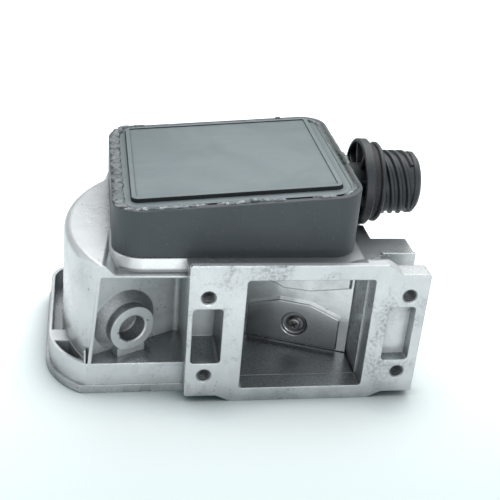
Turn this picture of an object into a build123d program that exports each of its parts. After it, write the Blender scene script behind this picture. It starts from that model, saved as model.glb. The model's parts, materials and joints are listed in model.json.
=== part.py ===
from build123d import *
import math
import os

os.makedirs("parts", exist_ok=True)

# Vane type air flow meter.  Millimetres.  X to the right, Y downstream, Z up.
# Origin: middle of the inlet bolt pattern, on the face of the inlet flange.

# ---------- clearances ----------
vane_gap = 0.35        # vane to every wall of the casting
bearing_play = 0.03    # shaft in its bushes, radial
slide_play = 0.05      # relief screw in the vane, radial
land_gap = 0.25        # base plate land inside the casting
lay_gap = 0.05         # wiper fingers above the track
disc_gap = 0.6         # connector disc in the relief of the casting

# ---------- inlet flange ----------
bolt_dx = 83.0
bolt_dz = 37.4
bolt_core_d = 5.2      # M6 thread core
bolt_lead_d = 6.6      # lead-in countersink
bolt_depth = 16.0
flange_t = 8.0
flange_edge = 7.9      # from a bolt centre to the side edge
flange_top = 33.2
lug_top = 28.9         # lowered corner over the right bolts
lug_w = 12.4
slant_run = 6.0        # run of the slope down to the lowered corner
corner_z = -29.0       # underside of the flange corners
foot_half = 30.0       # half width of the deeper middle
lip_t = 2.6            # thin upper lip in front of the cover
bump_w = 14.0          # part of the top edge that keeps the full thickness
lip_ramp = 9.0         # run of the slope from the thin lip to the bump
bump_r = 3.4
left_pocket_w = 12.4
opening_ease = 0.7     # opening beyond the vane passage, each side
pocket_h = 26.2
left_pocket_deep = 20.0
right_pocket_w = 11.7
right_pocket_deep = 5.0
pocket_in = 14.1       # opening side to the middle of the pockets, beyond the passage wall

# ---------- levels ----------
table_z = -32.0        # surface that the meter stands on
plate_t = 4.0          # base plate
seat_z = 29.3          # seat of the cover frame
seat_ease = 0.6        # seat beyond the cover
roof_t = 6.3           # casting over the passage
deck_z = 24.4          # deck over the boss pocket
deck_t = 0.9
drum_top = 29.3
plinth_flare = 24.0    # slope of the plinth under the cover, from upright
deck_slope = 42.0      # slope from the drum's top to the deck, from upright
slope_round = 2.5
skirt_top = -17.2
skirt_floor_t = 1.6

# ---------- air passage ----------
passage_w = 51.4
opening_h = 52.2
opening_mid = 0.5
step_y = 9.0           # end of the flange opening, start of the vane passage
body_right_t = 7.8     # passage side to the outer side of the body
rear_y = 104.0         # inside of the rear wall
rear_t = 5.0
neck_bore_d = 50.0
neck_wall = 3.5
neck_len = 19.0
neck_z = -1.0
hose_room = 5.0         # room round the neck for a hose and its clamp

# ---------- shaft and vane ----------
shaft_out = 5.8        # shaft centre beyond the passage side
shaft_y = 46.8
shaft_d = 6.0
rest_angle = -21.5     # direction of the measuring vane at rest
swing = 82.0           # opening travel
hub_r = 7.2
vane_t = 2.5
damper_lead = 126.5    # angle from the measuring vane to the damping vane

# ---------- damping chamber ----------
chamber_r = 62.8
rest_room = 10.0       # chamber before the damping vane at rest, degrees
open_room = 20.0       # chamber past the damping vane when open, degrees
end_wall_t = 3.4
drum_wall = 5.6
drum_draft = 1.3
drum_round = 3.0
skirt_out = 5.6
skirt_back = 45.0      # shaft to the rear edge of the skirt
skirt_rim_t = 1.5
skirt_front_r = 30.0
skirt_crease = 57.7    # shaft to the crease in the front of the skirt
skirt_rear_r = 12.0
pocket_reach = 51.9    # shaft to the top left corner of the boss pocket
ridge_t = 1.5          # thin edge left of the pocket
ridge_lean = 4.0       # slope of that edge over the height of the pocket
ridge_d = 2.5
pocket_r = 3.0
shelf_drop = 2.0       # shelf in the front of the skirt, below its rim
shelf_d = 7.0
fin_h = 6.0
lug_y = 30.2           # flush lug of the skirt
lug_d = 8.4
boss_d = 20.2
boss_bore_d = 11.9
boss_h = 7.6
boss_bore_deep = 8.0
boss_in = 13.6         # boss to the outer wall of the chamber, along the end wall
boss_foot = 4.2        # cone at the foot of the boss
boss_z = -4.5
boss_web_w = 12.8

# ---------- rear block on the right ----------
block_y = 21.5
block_d = 15.5
block_top = 26.0
block_low = -14.0
block_lip = 1.0
shoulder_gap = 1.5     # cover to the lower top of the right wall
shoulder_r = 2.2

# ---------- cover ----------
cover_left = -79.2
cover_front = 14.0
cover_w = 101.7
cover_d = 92.6
cover_r = 12.0
frame_t = 2.6
rim_left_z = 48.8      # height of the rim at its left edge
lid_slope = 4.65
lid_t = 2.6
lid_sink = 0.5         # lid face below the rim
groove_w = 2.0         # sealant groove between lid and frame
ledge_w = 4.6          # ledge that carries the lid
ledge_t = 2.4
plateau_h = 1.6
plateau_side = 7.5
plateau_front = 9.2
plateau_back = 4.6
plateau_r = 3.2
recess_in = 2.2
recess_deep = 0.4

# ---------- connector ----------
conn_y = 59.9
conn_z = 43.2
disc_r = 19.3
disc_out = 7.4         # cover to the disc
disc_t = 4.4
disc_rim_t = 1.5
disc_web_t = 1.5
ring_gap = 3.0
ring_r = 17.9
seal_in = 1.1          # seal inside the edge of the ring
ring_t = 2.0
neck_r = 8.5
waist_r = 14.8
barrel_r = 13.3
barrel_len = 17.5
barrel_wall = 2.0
rib_h = 1.1
rib_w = 1.5
rib_pitch = 15.0
rib_starts = 4
collar_w = 3.2
pin_r = 1.1
pin_ring_r = 5.0
pin_count = 5
pin_web_t = 3.0

# ---------- bearings, fasteners and small parts ----------
bush_r = 5.0
bush_len = 4.0
boss_top_r = 7.5       # bearing boss in the tray
boss_top_h = 3.6
pad_r = 3.4
pad_h = 1.5
plate_out = 1.4        # base plate beyond the skirt
base_screw_r = 2.0
base_head_r = 3.7
base_screw_len = 11.0
small_screw_r = 1.25
small_head_r = 2.4
small_head_h = 1.7
small_screw_len = 5.0
detent_t = 0.8
sensor_r = 3.5
sensor_probe_r = 1.6
sensor_drop = 7.0
mark_x = -65.0
mark_r = 2.4

# ---------- potentiometer and spring ----------
board_t = 1.0
board_w = 25.0
board_h = 52.0
board_gap = 2.0        # tension wheel to the edge of the board
board_far = 37.0       # shaft to the outer screws of the board
board_near = 18.5
board_side = 23.0
track_r = 30.0         # radius of the wiper track
wiper_rest = -41.0     # direction of the wiper at rest
wheel_tip_r = 23.0
wheel_root_r = 21.8
wheel_in_r = 19.6
wheel_h = 7.0
wheel_web_t = 1.5
wheel_lift = 1.2       # wheel above the tray
wheel_teeth = 60
collar_r = 6.3
collar_h = 5.0
spring_strip = 0.5
spring_turns = 4
spring_w = 3.6
arm_t = 2.4
weight_r = 28.0
weight_span = 44.0     # degrees
weight_t = 3.4

# ---------- relief valve in the measuring vane ----------
relief_t = 2.0
relief_from = 15.5     # from the shaft to the near edge of the plate
relief_to = 57.0
relief_low = 1.3       # plate's lower edge above the vane's
relief_h = 22.2        # top edge of the plate above the vane's lower edge
relief_side_h = 17.3
relief_slant = 13.7    # run of the slanted top corners
field_h = 1.8          # raised upper field of the vane
field_low = 27.6       # its lower edge over the relief plate
field_side = 32.2      # its lower edge at the tip of the vane
window_h = 12.0
relief_screw_u = 37.0
relief_screw_up = 10.9 # screw above the lower edge of the vane
dish_r = 6.0
dish_deep = 1.2
m3_r = 1.5
m3_head_r = 3.0
m3_head_h = 1.9
nut_r = 2.9
nut_h = 2.0
relief_travel = 1.5
relief_spring_len = 2.7

# ---------- values worked out from the sizes above ----------
half_w = passage_w / 2
flange_half = bolt_dx / 2 + flange_edge
opening_top = opening_mid + opening_h / 2
floor_z = opening_mid - opening_h / 2
cast_z = table_z + plate_t
ceiling_z = seat_z - roof_t
shaft_x = -half_w - shaft_out
body_right = half_w + body_right_t
rear_face = rear_y + rear_t
drum_r = chamber_r + drum_wall
tip_r = (half_w - vane_gap - shaft_x) / math.cos(math.radians(rest_angle))
sweep_r = tip_r + vane_gap
damper_r = chamber_r - vane_gap
chamber_start = rest_angle + damper_lead - rest_room
chamber_end = rest_angle + damper_lead + swing + open_room
boss_along = chamber_r - boss_in
vane_low = floor_z + vane_gap
vane_high = ceiling_z - vane_gap
cover_right = cover_left + cover_w
cover_mid_x = cover_left + cover_w / 2
cover_mid_y = cover_front + cover_d / 2
disc_x = cover_right + disc_out
disc_end = disc_x + disc_t
ring_x = disc_end + ring_gap
barrel_x = ring_x + ring_t
barrel_end = barrel_x + barrel_len
pocket_right_x = -flange_half
crease_x = shaft_x - skirt_crease
board_screws_at = [
    (shaft_x + board_far, shaft_y - board_side),
    (shaft_x + board_far, shaft_y + board_side),
    (shaft_x + board_near, shaft_y + board_side),
]
detent_at = (shaft_x - 24.0, shaft_y - 21.0)
sensor_at = (-half_w + sensor_r + 0.3, cover_front + frame_t + 6.0)
base_screws_at = [
    (pocket_right_x - 14.0, flange_t + 6.0),
    (shaft_x - drum_r + 1.5, lug_y),
    (-half_w - 14.0, flange_t + 6.0),
    (half_w + body_right_t / 2 + 0.3, flange_t + 6.0),
    (half_w + body_right_t / 2 + 0.3, rear_y - 6.0),
    (-half_w - 1.5, rear_y + 2.0),
]
rim_plane = Plane(
    origin=(cover_left, 0, rim_left_z),
    x_dir=(math.cos(math.radians(lid_slope)), 0, math.sin(math.radians(lid_slope))),
    z_dir=(-math.sin(math.radians(lid_slope)), 0, math.cos(math.radians(lid_slope))),
)
lid_plane = rim_plane.offset(-lid_sink)


def around(angle, radius):
    """Point at an angle and radius from the shaft."""
    turn = math.radians(angle)
    return (shaft_x + radius * math.cos(turn), shaft_y + radius * math.sin(turn))


def sector(radius, start, end):
    """Pie slice about the shaft."""
    with BuildSketch() as slice_:
        with BuildLine():
            Line((shaft_x, shaft_y), around(start, radius))
            CenterArc((shaft_x, shaft_y), radius, start, end - start)
            Line(around(end, radius), (shaft_x, shaft_y))
        make_face()
    return slice_.sketch


def blade(angle, length, low, high):
    """Plan of a vane: a bar from the shaft, with its faces at low and high beside the radius."""
    with BuildSketch() as bar:
        with Locations(Location((shaft_x, shaft_y, 0), (0, 0, angle))):
            with Locations((length / 2, (low + high) / 2)):
                Rectangle(length, high - low)
        with Locations((shaft_x, shaft_y)):
            Circle(length, mode=Mode.INTERSECT)
    return bar.sketch


def air_space(inset=0.0):
    """Plan of all the air space behind the flange opening, drawn in by an inset."""
    turn_in = math.degrees(inset / (hub_r + vane_gap)) / 2
    with BuildSketch() as space:
        with Locations((0, (step_y + rear_y) / 2)):
            Rectangle(passage_w - 2 * inset, rear_y - step_y - 2 * inset)
        add(sector(sweep_r - inset, rest_angle - 12, rest_angle + swing))
        add(blade(rest_angle + swing, sweep_r - inset, 0, vane_t + vane_gap - inset))
        add(sector(chamber_r - inset, chamber_start + turn_in, chamber_end - turn_in))
        with Locations((shaft_x, shaft_y)):
            Circle(hub_r + vane_gap - inset)
    return space.sketch


def skirt_plan(grow):
    """Plan of the low skirt round the drum."""
    left = shaft_x - drum_r - skirt_out
    front_r = skirt_front_r + grow
    mid_x = left + skirt_front_r
    mid_y = flange_t + math.sqrt(skirt_front_r**2 - (crease_x - mid_x) ** 2)
    front_turn = 180 + math.degrees(math.asin((mid_y - flange_t) / front_r))
    back = shaft_y + skirt_back + grow
    with BuildSketch() as plan:
        with BuildLine():
            corner = CenterArc((mid_x, mid_y), front_r, 180, front_turn - 180)
            Polyline(corner @ 1, (shaft_x, flange_t), (shaft_x, back), (left - grow, back), corner @ 0)
        make_face()
        left_corners = plan.vertices().filter_by(lambda v: v.Y > back - 1 and v.X < shaft_x - 1)
        fillet(left_corners, skirt_rear_r)
    return plan.sketch


def cover_plan(inset):
    """Plan of the cover, drawn in by an inset."""
    with BuildSketch() as plan:
        with Locations((cover_mid_x, cover_mid_y)):
            RectangleRounded(cover_w - 2 * inset, cover_d - 2 * inset, cover_r - inset)
    return plan.sketch


# ---------- housing: one aluminium casting ----------
drum_front_x = shaft_x - math.sqrt(drum_r**2 - (shaft_y - flange_t) ** 2)
pocket_left_x = shaft_x - pocket_reach
wall_dx = math.cos(math.radians(chamber_end))
wall_dy = math.sin(math.radians(chamber_end))
wall_face_y = end_wall_t / wall_dx


def end_wall_y(x):
    """Front face of the chamber's end wall, at an X."""
    return shaft_y + (x - shaft_x) * wall_dy / wall_dx + wall_face_y


with BuildPart() as housing:
    # drum of the damping chamber
    with BuildSketch(Plane.XY.offset(cast_z)):
        with Locations((shaft_x, shaft_y)):
            Circle(drum_r)
    extrude(amount=drum_top - cast_z, taper=drum_draft)
    fillet(housing.edges().group_by(Axis.Z)[-1], drum_round)
    # everything in front of the flange plane and right of the shaft goes
    with BuildSketch(Plane.XY.offset(cast_z)):
        with Locations((shaft_x, flange_t)):
            Rectangle(3 * drum_r, drum_r, align=(Align.CENTER, Align.MAX))
        with Locations((shaft_x, shaft_y)):
            Rectangle(2 * drum_r, 4 * drum_r, align=(Align.MIN, Align.CENTER))
    extrude(amount=drum_top - cast_z, mode=Mode.SUBTRACT)
    # flat on the drum that runs out towards its foot, beside the leaning edge of the pocket
    edge_x = pocket_left_x - ridge_t
    edge_run = Vector(-ridge_lean, 0, cast_z - deck_z).normalized()
    edge_turn = math.atan2(shaft_y - flange_t, shaft_x - edge_x)
    along_drum = Vector(-math.sin(edge_turn), math.cos(edge_turn), 0)
    split(
        bisect_by=Plane(origin=(edge_x, flange_t, deck_z), x_dir=along_drum, z_dir=edge_run.cross(along_drum)),
        keep=Keep.TOP,
    )
    # the deck lies lower, behind a soft slope down from the drum's top
    slope_turn = 90 - deck_slope
    slope_drop = drum_top - deck_z - 2 * slope_round * (1 - math.cos(math.radians(slope_turn)))
    slope_back = cover_front + 2 * cover_r
    slope_way = Vector(cover_left - pocket_left_x, slope_back, 0).normalized()
    with BuildSketch(Plane.XZ.offset(-flange_t)):
        with BuildLine():
            slope_start = JernArc((pocket_left_x, drum_top), (1, 0), slope_round, -slope_turn)
            slope_line = PolarLine(
                slope_start @ 1, slope_drop / math.sin(math.radians(slope_turn)), direction=slope_start % 1
            )
            slope_end = JernArc(slope_line @ 1, slope_line % 1, slope_round, slope_turn)
            Polyline(
                slope_end @ 1,
                (shaft_x, deck_z),
                (shaft_x, drum_top + 1),
                (pocket_left_x, drum_top + 1),
                slope_start @ 0,
            )
        make_face()
    extrude(amount=(slope_back - flange_t) / slope_way.Y, dir=slope_way, mode=Mode.SUBTRACT)
    # passage body
    with BuildSketch(Plane.XY.offset(cast_z)):
        with BuildLine():
            Polyline(
                (shaft_x - 1, flange_t),
                (body_right, flange_t),
                (body_right, rear_face),
                (shaft_x - 1, rear_face),
                close=True,
            )
        make_face()
    extrude(amount=seat_z - cast_z)
    # block behind the left end of the flange
    with BuildSketch(Plane.XY.offset(cast_z)):
        with BuildLine():
            Polyline(
                (pocket_right_x - 1, flange_t),
                (shaft_x, flange_t),
                (shaft_x, shaft_y),
                (pocket_right_x - 1, shaft_y),
                close=True,
            )
        make_face()
    extrude(amount=deck_z - cast_z)
    # plinth that carries the cover
    plinth_run = (seat_z - deck_z) * math.tan(math.radians(plinth_flare))
    with BuildSketch(Plane.XY.offset(deck_z)):
        add(cover_plan(-seat_ease - plinth_run))
    extrude(amount=seat_z - deck_z, taper=plinth_flare)
    with BuildSketch(Plane.XY.offset(ceiling_z)):
        with Locations((shaft_x, flange_t)):
            Rectangle(body_right - shaft_x, 2 * cover_r, align=(Align.MIN, Align.MIN))
        with Locations((-flange_half, flange_t)):
            Rectangle(flange_half, 2 * cover_r, align=(Align.MIN, Align.MIN))
    extrude(amount=seat_z - ceiling_z)
    # the right wall is lower beside the cover
    with BuildSketch(Plane.XZ.offset(-flange_t)) as shoulder:
        with BuildLine():
            Polyline(
                (cover_right + shoulder_gap, seat_z + 1),
                (cover_right + shoulder_gap, block_top),
                (flange_half, block_top),
                (flange_half, seat_z + 1),
                close=True,
            )
        make_face()
        fillet(shoulder.vertices().sort_by(Axis.X)[0:2].sort_by(Axis.Z)[0], shoulder_r)
    extrude(amount=-rear_face, mode=Mode.SUBTRACT)
    # inlet flange
    with BuildSketch(Plane.XZ):
        with BuildLine():
            Polyline(
                (-flange_half, corner_z),
                (-foot_half - slant_run, corner_z),
                (-foot_half, table_z),
                (foot_half, table_z),
                (foot_half + slant_run, corner_z),
                (flange_half, corner_z),
                (flange_half, lug_top),
                (flange_half - lug_w, lug_top),
                (flange_half - lug_w - slant_run, flange_top),
                (-flange_half, flange_top),
                close=True,
            )
        flange_face = make_face()
        fillet(flange_face.vertices(), 1.2)
    extrude(amount=-flange_t)
    # the upper lip is thin in front of the cover
    lip_end_x = flange_half - lug_w - slant_run - bump_w
    with BuildSketch(Plane.XZ.offset(-lip_t)):
        with BuildLine():
            Polyline(
                (-flange_half, seat_z),
                (lip_end_x - lip_ramp / 3, seat_z),
                (lip_end_x + 2 * lip_ramp / 3, flange_top),
                (-flange_half, flange_top),
                close=True,
            )
        make_face()
    extrude(amount=-(flange_t - lip_t), mode=Mode.SUBTRACT)
    # the bump is rounded at the back
    with BuildSketch(Plane.YZ.offset(lip_end_x - lip_ramp)):
        with BuildLine():
            bump_back = JernArc((flange_t - bump_r, flange_top), (1, 0), bump_r, -90)
            Polyline(
                bump_back @ 1,
                (flange_t + 1, flange_top - bump_r),
                (flange_t + 1, flange_top + 1),
                (flange_t - bump_r, flange_top + 1),
                bump_back @ 0,
            )
        make_face()
    extrude(amount=2 * bump_w + lip_ramp, mode=Mode.SUBTRACT)
    # rear block on the right
    with BuildSketch(Plane.XY.offset(block_low)):
        with Locations((body_right - 1, block_y)):
            Rectangle(flange_half - body_right + 1, block_d, align=(Align.MIN, Align.MIN))
    extrude(amount=block_top - block_low)
    with BuildSketch(Plane.XY.offset(block_top)):
        with Locations((body_right + 1, block_y)):
            Rectangle(flange_half - body_right - 1, 1.6, align=(Align.MIN, Align.MIN))
    extrude(amount=block_lip)
    # skirt with open pockets between its rim and the drum
    with BuildSketch(Plane.XY.offset(cast_z)):
        add(skirt_plan(0))
    extrude(amount=skirt_top - cast_z)
    with BuildSketch(Plane.XY.offset(cast_z + skirt_floor_t)) as hollow:
        offset(skirt_plan(0), amount=-skirt_rim_t)
        with Locations((shaft_x, shaft_y)):
            Circle(drum_r, mode=Mode.SUBTRACT)
        with Locations((drum_front_x + ridge_t - 1, 0)):
            Rectangle(drum_r * 2, drum_r * 4, align=(Align.MIN, Align.CENTER), mode=Mode.SUBTRACT)
        # flush lug
        with Locations((shaft_x - drum_r, lug_y)):
            Rectangle(drum_r, lug_d, mode=Mode.SUBTRACT)
    extrude(amount=skirt_top - cast_z, mode=Mode.SUBTRACT)
    # shelf across the front of the hollow
    with BuildSketch(Plane.XY.offset(cast_z)):
        offset(skirt_plan(0), amount=-skirt_rim_t / 2)
        with Locations((crease_x - 2.0, flange_t)):
            Rectangle(drum_r, shelf_d, align=(Align.MAX, Align.MIN), mode=Mode.INTERSECT)
    extrude(amount=skirt_top - shelf_drop - cast_z)
    # fin at the foot of the drum
    with BuildSketch(Plane.XY.offset(skirt_top)):
        with Locations((crease_x - 0.8, flange_t + 0.6)):
            Rectangle(0.8, 6.0, align=(Align.CENTER, Align.MIN))
    extrude(amount=fin_h)
    # thin leaning edge of the pocket
    pocket_top = deck_z - deck_t
    with BuildSketch(Plane.XZ.offset(-flange_t)):
        with BuildLine():
            Polyline(
                (edge_x - ridge_lean, skirt_top),
                (edge_x, pocket_top),
                (pocket_left_x + 1, pocket_top),
                (pocket_left_x + 1, skirt_top),
                close=True,
            )
        make_face()
    extrude(amount=-ridge_d)
    # pocket in front of the end wall
    with BuildSketch(Plane.XY.offset(skirt_top)) as pocket_plan:
        with BuildLine():
            Polyline(
                (pocket_left_x - ridge_lean, flange_t - 8),
                (pocket_right_x, flange_t - 8),
                (pocket_right_x, end_wall_y(pocket_right_x)),
                (pocket_left_x - ridge_lean, end_wall_y(pocket_left_x - ridge_lean)),
                close=True,
            )
        make_face()
        fillet(pocket_plan.vertices().group_by(Axis.Y)[-1], 2.0)
    pocket = extrude(amount=pocket_top - skirt_top, mode=Mode.PRIVATE)
    with BuildSketch(Plane.XZ) as pocket_front:
        with BuildLine():
            Polyline(
                (pocket_left_x - ridge_lean, skirt_top),
                (pocket_right_x, skirt_top),
                (pocket_right_x, pocket_top),
                (pocket_left_x, pocket_top),
                close=True,
            )
        make_face()
        fillet(pocket_front.vertices().filter_by(lambda v: v.Z > 0 and v.X < pocket_left_x + 1), pocket_r)
    pocket_front_run = extrude(amount=-drum_r, mode=Mode.PRIVATE)
    add(pocket & pocket_front_run, mode=Mode.SUBTRACT)
    # boss on the end wall, with a blind bore and a web down to the floor
    boss_x, boss_y = around(chamber_end, boss_along)
    boss_seat = Plane(
        origin=(boss_x, boss_y, boss_z),
        x_dir=(-wall_dx, -wall_dy, 0),
        z_dir=(-wall_dy, wall_dx, 0),
    )
    boss_face = boss_seat.offset(end_wall_t + boss_h)
    with BuildSketch(boss_face) as boss_rim:
        Circle(boss_d / 2)
    extrude(amount=-(boss_h + end_wall_t / 2))
    with BuildSketch(boss_face.offset(-boss_h)):
        Circle(boss_d / 2 + boss_foot)
    extrude(amount=boss_foot * 0.8, taper=48)
    web_top = boss_z - boss_d / 2 + 1.5
    with BuildSketch(boss_face.offset(-1.0)):
        with Locations((0, -(boss_z - (skirt_top - 1 + web_top) / 2))):
            Rectangle(boss_web_w, web_top - skirt_top + 1)
    extrude(amount=-(boss_h + end_wall_t / 2 - 1.0))
    with BuildSketch(boss_face):
        Circle(boss_bore_d / 2)
    extrude(amount=-boss_bore_deep, mode=Mode.SUBTRACT)
    round_edges = housing.edges().filter_by(GeomType.CIRCLE)
    chamfer(round_edges.sort_by(lambda e: (e.center() - boss_face.origin).length)[0:2], 0.5)
    # flange opening and the pockets beside it
    with BuildSketch(Plane.XZ):
        with Locations((0, opening_mid)):
            RectangleRounded(passage_w + 2 * opening_ease, opening_h, 1.5)
    extrude(amount=-step_y, mode=Mode.SUBTRACT)
    with BuildSketch(Plane.XZ):
        with Locations((-half_w - pocket_in - 1.5, 0.4)):
            RectangleRounded(left_pocket_w, pocket_h, 1.6)
    extrude(amount=-left_pocket_deep, taper=1.5, mode=Mode.SUBTRACT)
    with BuildSketch(Plane.XZ):
        with Locations((half_w + pocket_in - 0.5, 0.4)):
            RectangleRounded(right_pocket_w, pocket_h, 1.6)
    extrude(amount=-right_pocket_deep, taper=4, mode=Mode.SUBTRACT)
    # four threaded holes
    with Locations(Plane.XZ):
        with GridLocations(bolt_dx, bolt_dz, 2, 2):
            CounterSinkHole(bolt_core_d / 2, bolt_lead_d / 2, depth=bolt_depth, counter_sink_angle=120)
    # air space, open at the underside
    with BuildSketch(Plane.XY.offset(cast_z)):
        add(air_space())
    extrude(amount=ceiling_z - cast_z, mode=Mode.SUBTRACT)
    # outlet neck for the hose
    neck_r_out = neck_bore_d / 2 + neck_wall
    with BuildSketch(Plane.XZ.offset(-rear_face)):
        with Locations((0, neck_z)):
            Circle(neck_r_out)
    extrude(amount=-neck_len)
    chamfer(housing.edges().group_by(Axis.Y)[-1], 0.9)
    with BuildSketch(Plane.XZ.offset(-rear_face)):
        with Locations((0, neck_z)):
            Circle(neck_r_out + hose_room)
            Circle(neck_r_out, mode=Mode.SUBTRACT)
    extrude(amount=-neck_len, mode=Mode.SUBTRACT)
    with BuildSketch(Plane.XZ.offset(-rear_y)):
        with Locations((0, neck_z)):
            Circle(neck_bore_d / 2)
    extrude(amount=-(rear_t + neck_len), mode=Mode.SUBTRACT)
    # tray under the cover: bearing boss, board pads and the peg of the detent
    with BuildSketch(Plane.XY.offset(seat_z)):
        with Locations((shaft_x, shaft_y)):
            Circle(boss_top_r)
    extrude(amount=boss_top_h)
    with BuildSketch(Plane.XY.offset(seat_z)):
        with Locations(*board_screws_at):
            Circle(pad_r)
        with Locations(detent_at):
            Circle(pad_r)
    extrude(amount=pad_h)
    # bore of the upper bush and clearance for the shaft
    with Locations((shaft_x, shaft_y, seat_z + boss_top_h)):
        Hole(bush_r, depth=bush_len)
        Hole(shaft_d / 2 + 0.6, depth=boss_top_h + roof_t)
    # screw holes of the base plate, the board and the detent
    with BuildSketch(Plane.XY.offset(cast_z)):
        with Locations(*base_screws_at):
            Circle(base_screw_r)
    extrude(amount=base_screw_len - plate_t, mode=Mode.SUBTRACT)
    with BuildSketch(Plane.XY.offset(seat_z + pad_h)):
        with Locations(*board_screws_at):
            Circle(small_screw_r)
        with Locations(detent_at):
            Circle(small_screw_r)
    extrude(amount=-small_screw_len, mode=Mode.SUBTRACT)
    # bore of the air temperature sensor, and the relief for the connector disc
    with BuildSketch(Plane.XY.offset(ceiling_z)):
        with Locations(sensor_at):
            Circle(sensor_r)
    extrude(amount=roof_t, mode=Mode.SUBTRACT)
    with BuildSketch(Plane.YZ.offset(disc_x - disc_gap)):
        with Locations((conn_y, conn_z)):
            Circle(disc_r + disc_gap)
    extrude(amount=flange_half, mode=Mode.SUBTRACT)
housing.part.label = "housing"
export_step(housing.part, "parts/housing.step")

# ---------- base plate ----------
with BuildPart() as base_plate:
    with BuildSketch(Plane.XY.offset(table_z)):
        add(skirt_plan(plate_out))
        with Locations((shaft_x, shaft_y)):
            Circle(drum_r + 0.6)
            Rectangle(2 * drum_r, 3 * drum_r, align=(Align.MIN, Align.CENTER), mode=Mode.SUBTRACT)
        with Locations((shaft_x, flange_t)):
            Rectangle(body_right - shaft_x, rear_face - flange_t, align=(Align.MIN, Align.MIN))
            Rectangle(3 * drum_r, drum_r, align=(Align.CENTER, Align.MAX), mode=Mode.SUBTRACT)
        with Locations((body_right, shaft_y)):
            Rectangle(drum_r, 3 * drum_r, align=(Align.MIN, Align.CENTER), mode=Mode.SUBTRACT)
    extrude(amount=plate_t)
    fillet(base_plate.edges().group_by(Axis.Z)[0].filter_by(lambda e: e.center().Y > flange_t + 1), 0.8)
    with BuildSketch(Plane.XY.offset(cast_z)):
        add(air_space(land_gap))
    extrude(amount=floor_z - cast_z)
    # seat of the lower bush
    with Locations((shaft_x, shaft_y, floor_z)):
        Hole(bush_r, depth=bush_len)
    # countersunk screw holes from below
    with Locations(*[Location((x, y, table_z), (180, 0, 0)) for x, y in base_screws_at]):
        CounterSinkHole(base_screw_r, base_head_r, depth=plate_t, counter_sink_angle=90)
    # half round mark in the front edge
    with BuildSketch(Plane.XZ.offset(-flange_t)):
        with Locations((mark_x, table_z)):
            Circle(mark_r)
    extrude(amount=-0.5, mode=Mode.SUBTRACT)
base_plate.part.label = "base_plate"
export_step(base_plate.part, "parts/base_plate.step")

with BuildPart() as base_screws:
    with BuildSketch(Plane.XZ) as screw_half:
        with BuildLine():
            Polyline(
                (0, table_z),
                (base_head_r, table_z),
                (base_screw_r, table_z + base_head_r - base_screw_r),
                (base_screw_r, table_z + base_screw_len),
                (0, table_z + base_screw_len),
                close=True,
            )
        make_face()
    one_screw = revolve(axis=Axis.Z, mode=Mode.PRIVATE)
    with BuildSketch(Plane.XY.offset(table_z)):
        Rectangle(base_head_r, 0.9)
        Rectangle(0.9, base_head_r)
    cross = extrude(amount=1.2, mode=Mode.PRIVATE)
    with Locations(*[(x, y, 0) for x, y in base_screws_at]):
        add(one_screw - cross)
base_screws.part.label = "base_screws"
export_step(base_screws.part, "parts/base_screws.step")

# ---------- cover ----------
with BuildPart() as cover_frame:
    with BuildSketch(Plane.XY.offset(seat_z)):
        add(cover_plan(0))
    extrude(amount=60)
    with BuildSketch(Plane.XY.offset(seat_z)):
        add(cover_plan(frame_t))
    extrude(amount=60, mode=Mode.SUBTRACT)
    split(bisect_by=rim_plane, keep=Keep.BOTTOM)
    # ledge that carries the lid
    with BuildSketch(Plane.XY.offset(seat_z)):
        add(cover_plan(frame_t - 0.5))
        add(cover_plan(ledge_w), mode=Mode.SUBTRACT)
    ledge = extrude(amount=60, mode=Mode.PRIVATE)
    ledge_top = lid_plane.offset(-lid_t)
    ledge = ledge.split(ledge_top, keep=Keep.BOTTOM)
    ledge = ledge.split(ledge_top.offset(-ledge_t), keep=Keep.TOP)
    add(ledge)
    high_edges = cover_frame.edges().filter_by(lambda e: e.center().Z > seat_z + 5)
    rim_edges = high_edges.filter_by(lambda e: abs(rim_plane.to_local_coords(e.center()).Z) < 0.01)
    fillet(rim_edges.sort_by(SortBy.LENGTH)[-8:], 0.5)
    # hole for the neck of the connector
    with BuildSketch(Plane.YZ.offset(cover_right - 3 * frame_t)):
        with Locations((conn_y, conn_z)):
            Circle(neck_r)
    extrude(amount=4 * frame_t, mode=Mode.SUBTRACT)
cover_frame.part.label = "cover_frame"
export_step(cover_frame.part, "parts/cover_frame.step")

with BuildPart() as cover_lid:
    with BuildSketch(Plane.XY.offset(seat_z)):
        add(cover_plan(frame_t + groove_w))
    extrude(amount=60)
    split(bisect_by=lid_plane, keep=Keep.BOTTOM)
    split(bisect_by=lid_plane.offset(-lid_t), keep=Keep.TOP)
    # raised middle with a shallow recess
    with BuildSketch(lid_plane):
        with Locations((cover_w / 2, cover_front + plateau_front)):
            RectangleRounded(
                cover_w - 2 * plateau_side,
                cover_d - plateau_front - plateau_back,
                plateau_r,
                align=(Align.CENTER, Align.MIN),
            )
    extrude(amount=plateau_h, taper=12)
    with BuildSketch(lid_plane.offset(plateau_h)):
        with Locations((cover_w / 2, cover_front + plateau_front + recess_in)):
            RectangleRounded(
                cover_w - 2 * (plateau_side + recess_in),
                cover_d - plateau_front - plateau_back - 2 * recess_in,
                plateau_r - recess_in,
                align=(Align.CENTER, Align.MIN),
            )
    extrude(amount=-recess_deep, mode=Mode.SUBTRACT)
cover_lid.part.label = "cover_lid"
export_step(cover_lid.part, "parts/cover_lid.step")

with BuildPart() as lid_sealant:
    with BuildSketch(Plane.XY.offset(seat_z)):
        add(cover_plan(frame_t))
        add(cover_plan(frame_t + groove_w), mode=Mode.SUBTRACT)
    extrude(amount=60)
    split(bisect_by=lid_plane.offset(lid_sink * 0.6), keep=Keep.BOTTOM)
    split(bisect_by=lid_plane.offset(-lid_t), keep=Keep.TOP)
lid_sealant.part.label = "lid_sealant"
export_step(lid_sealant.part, "parts/lid_sealant.step")

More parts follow.
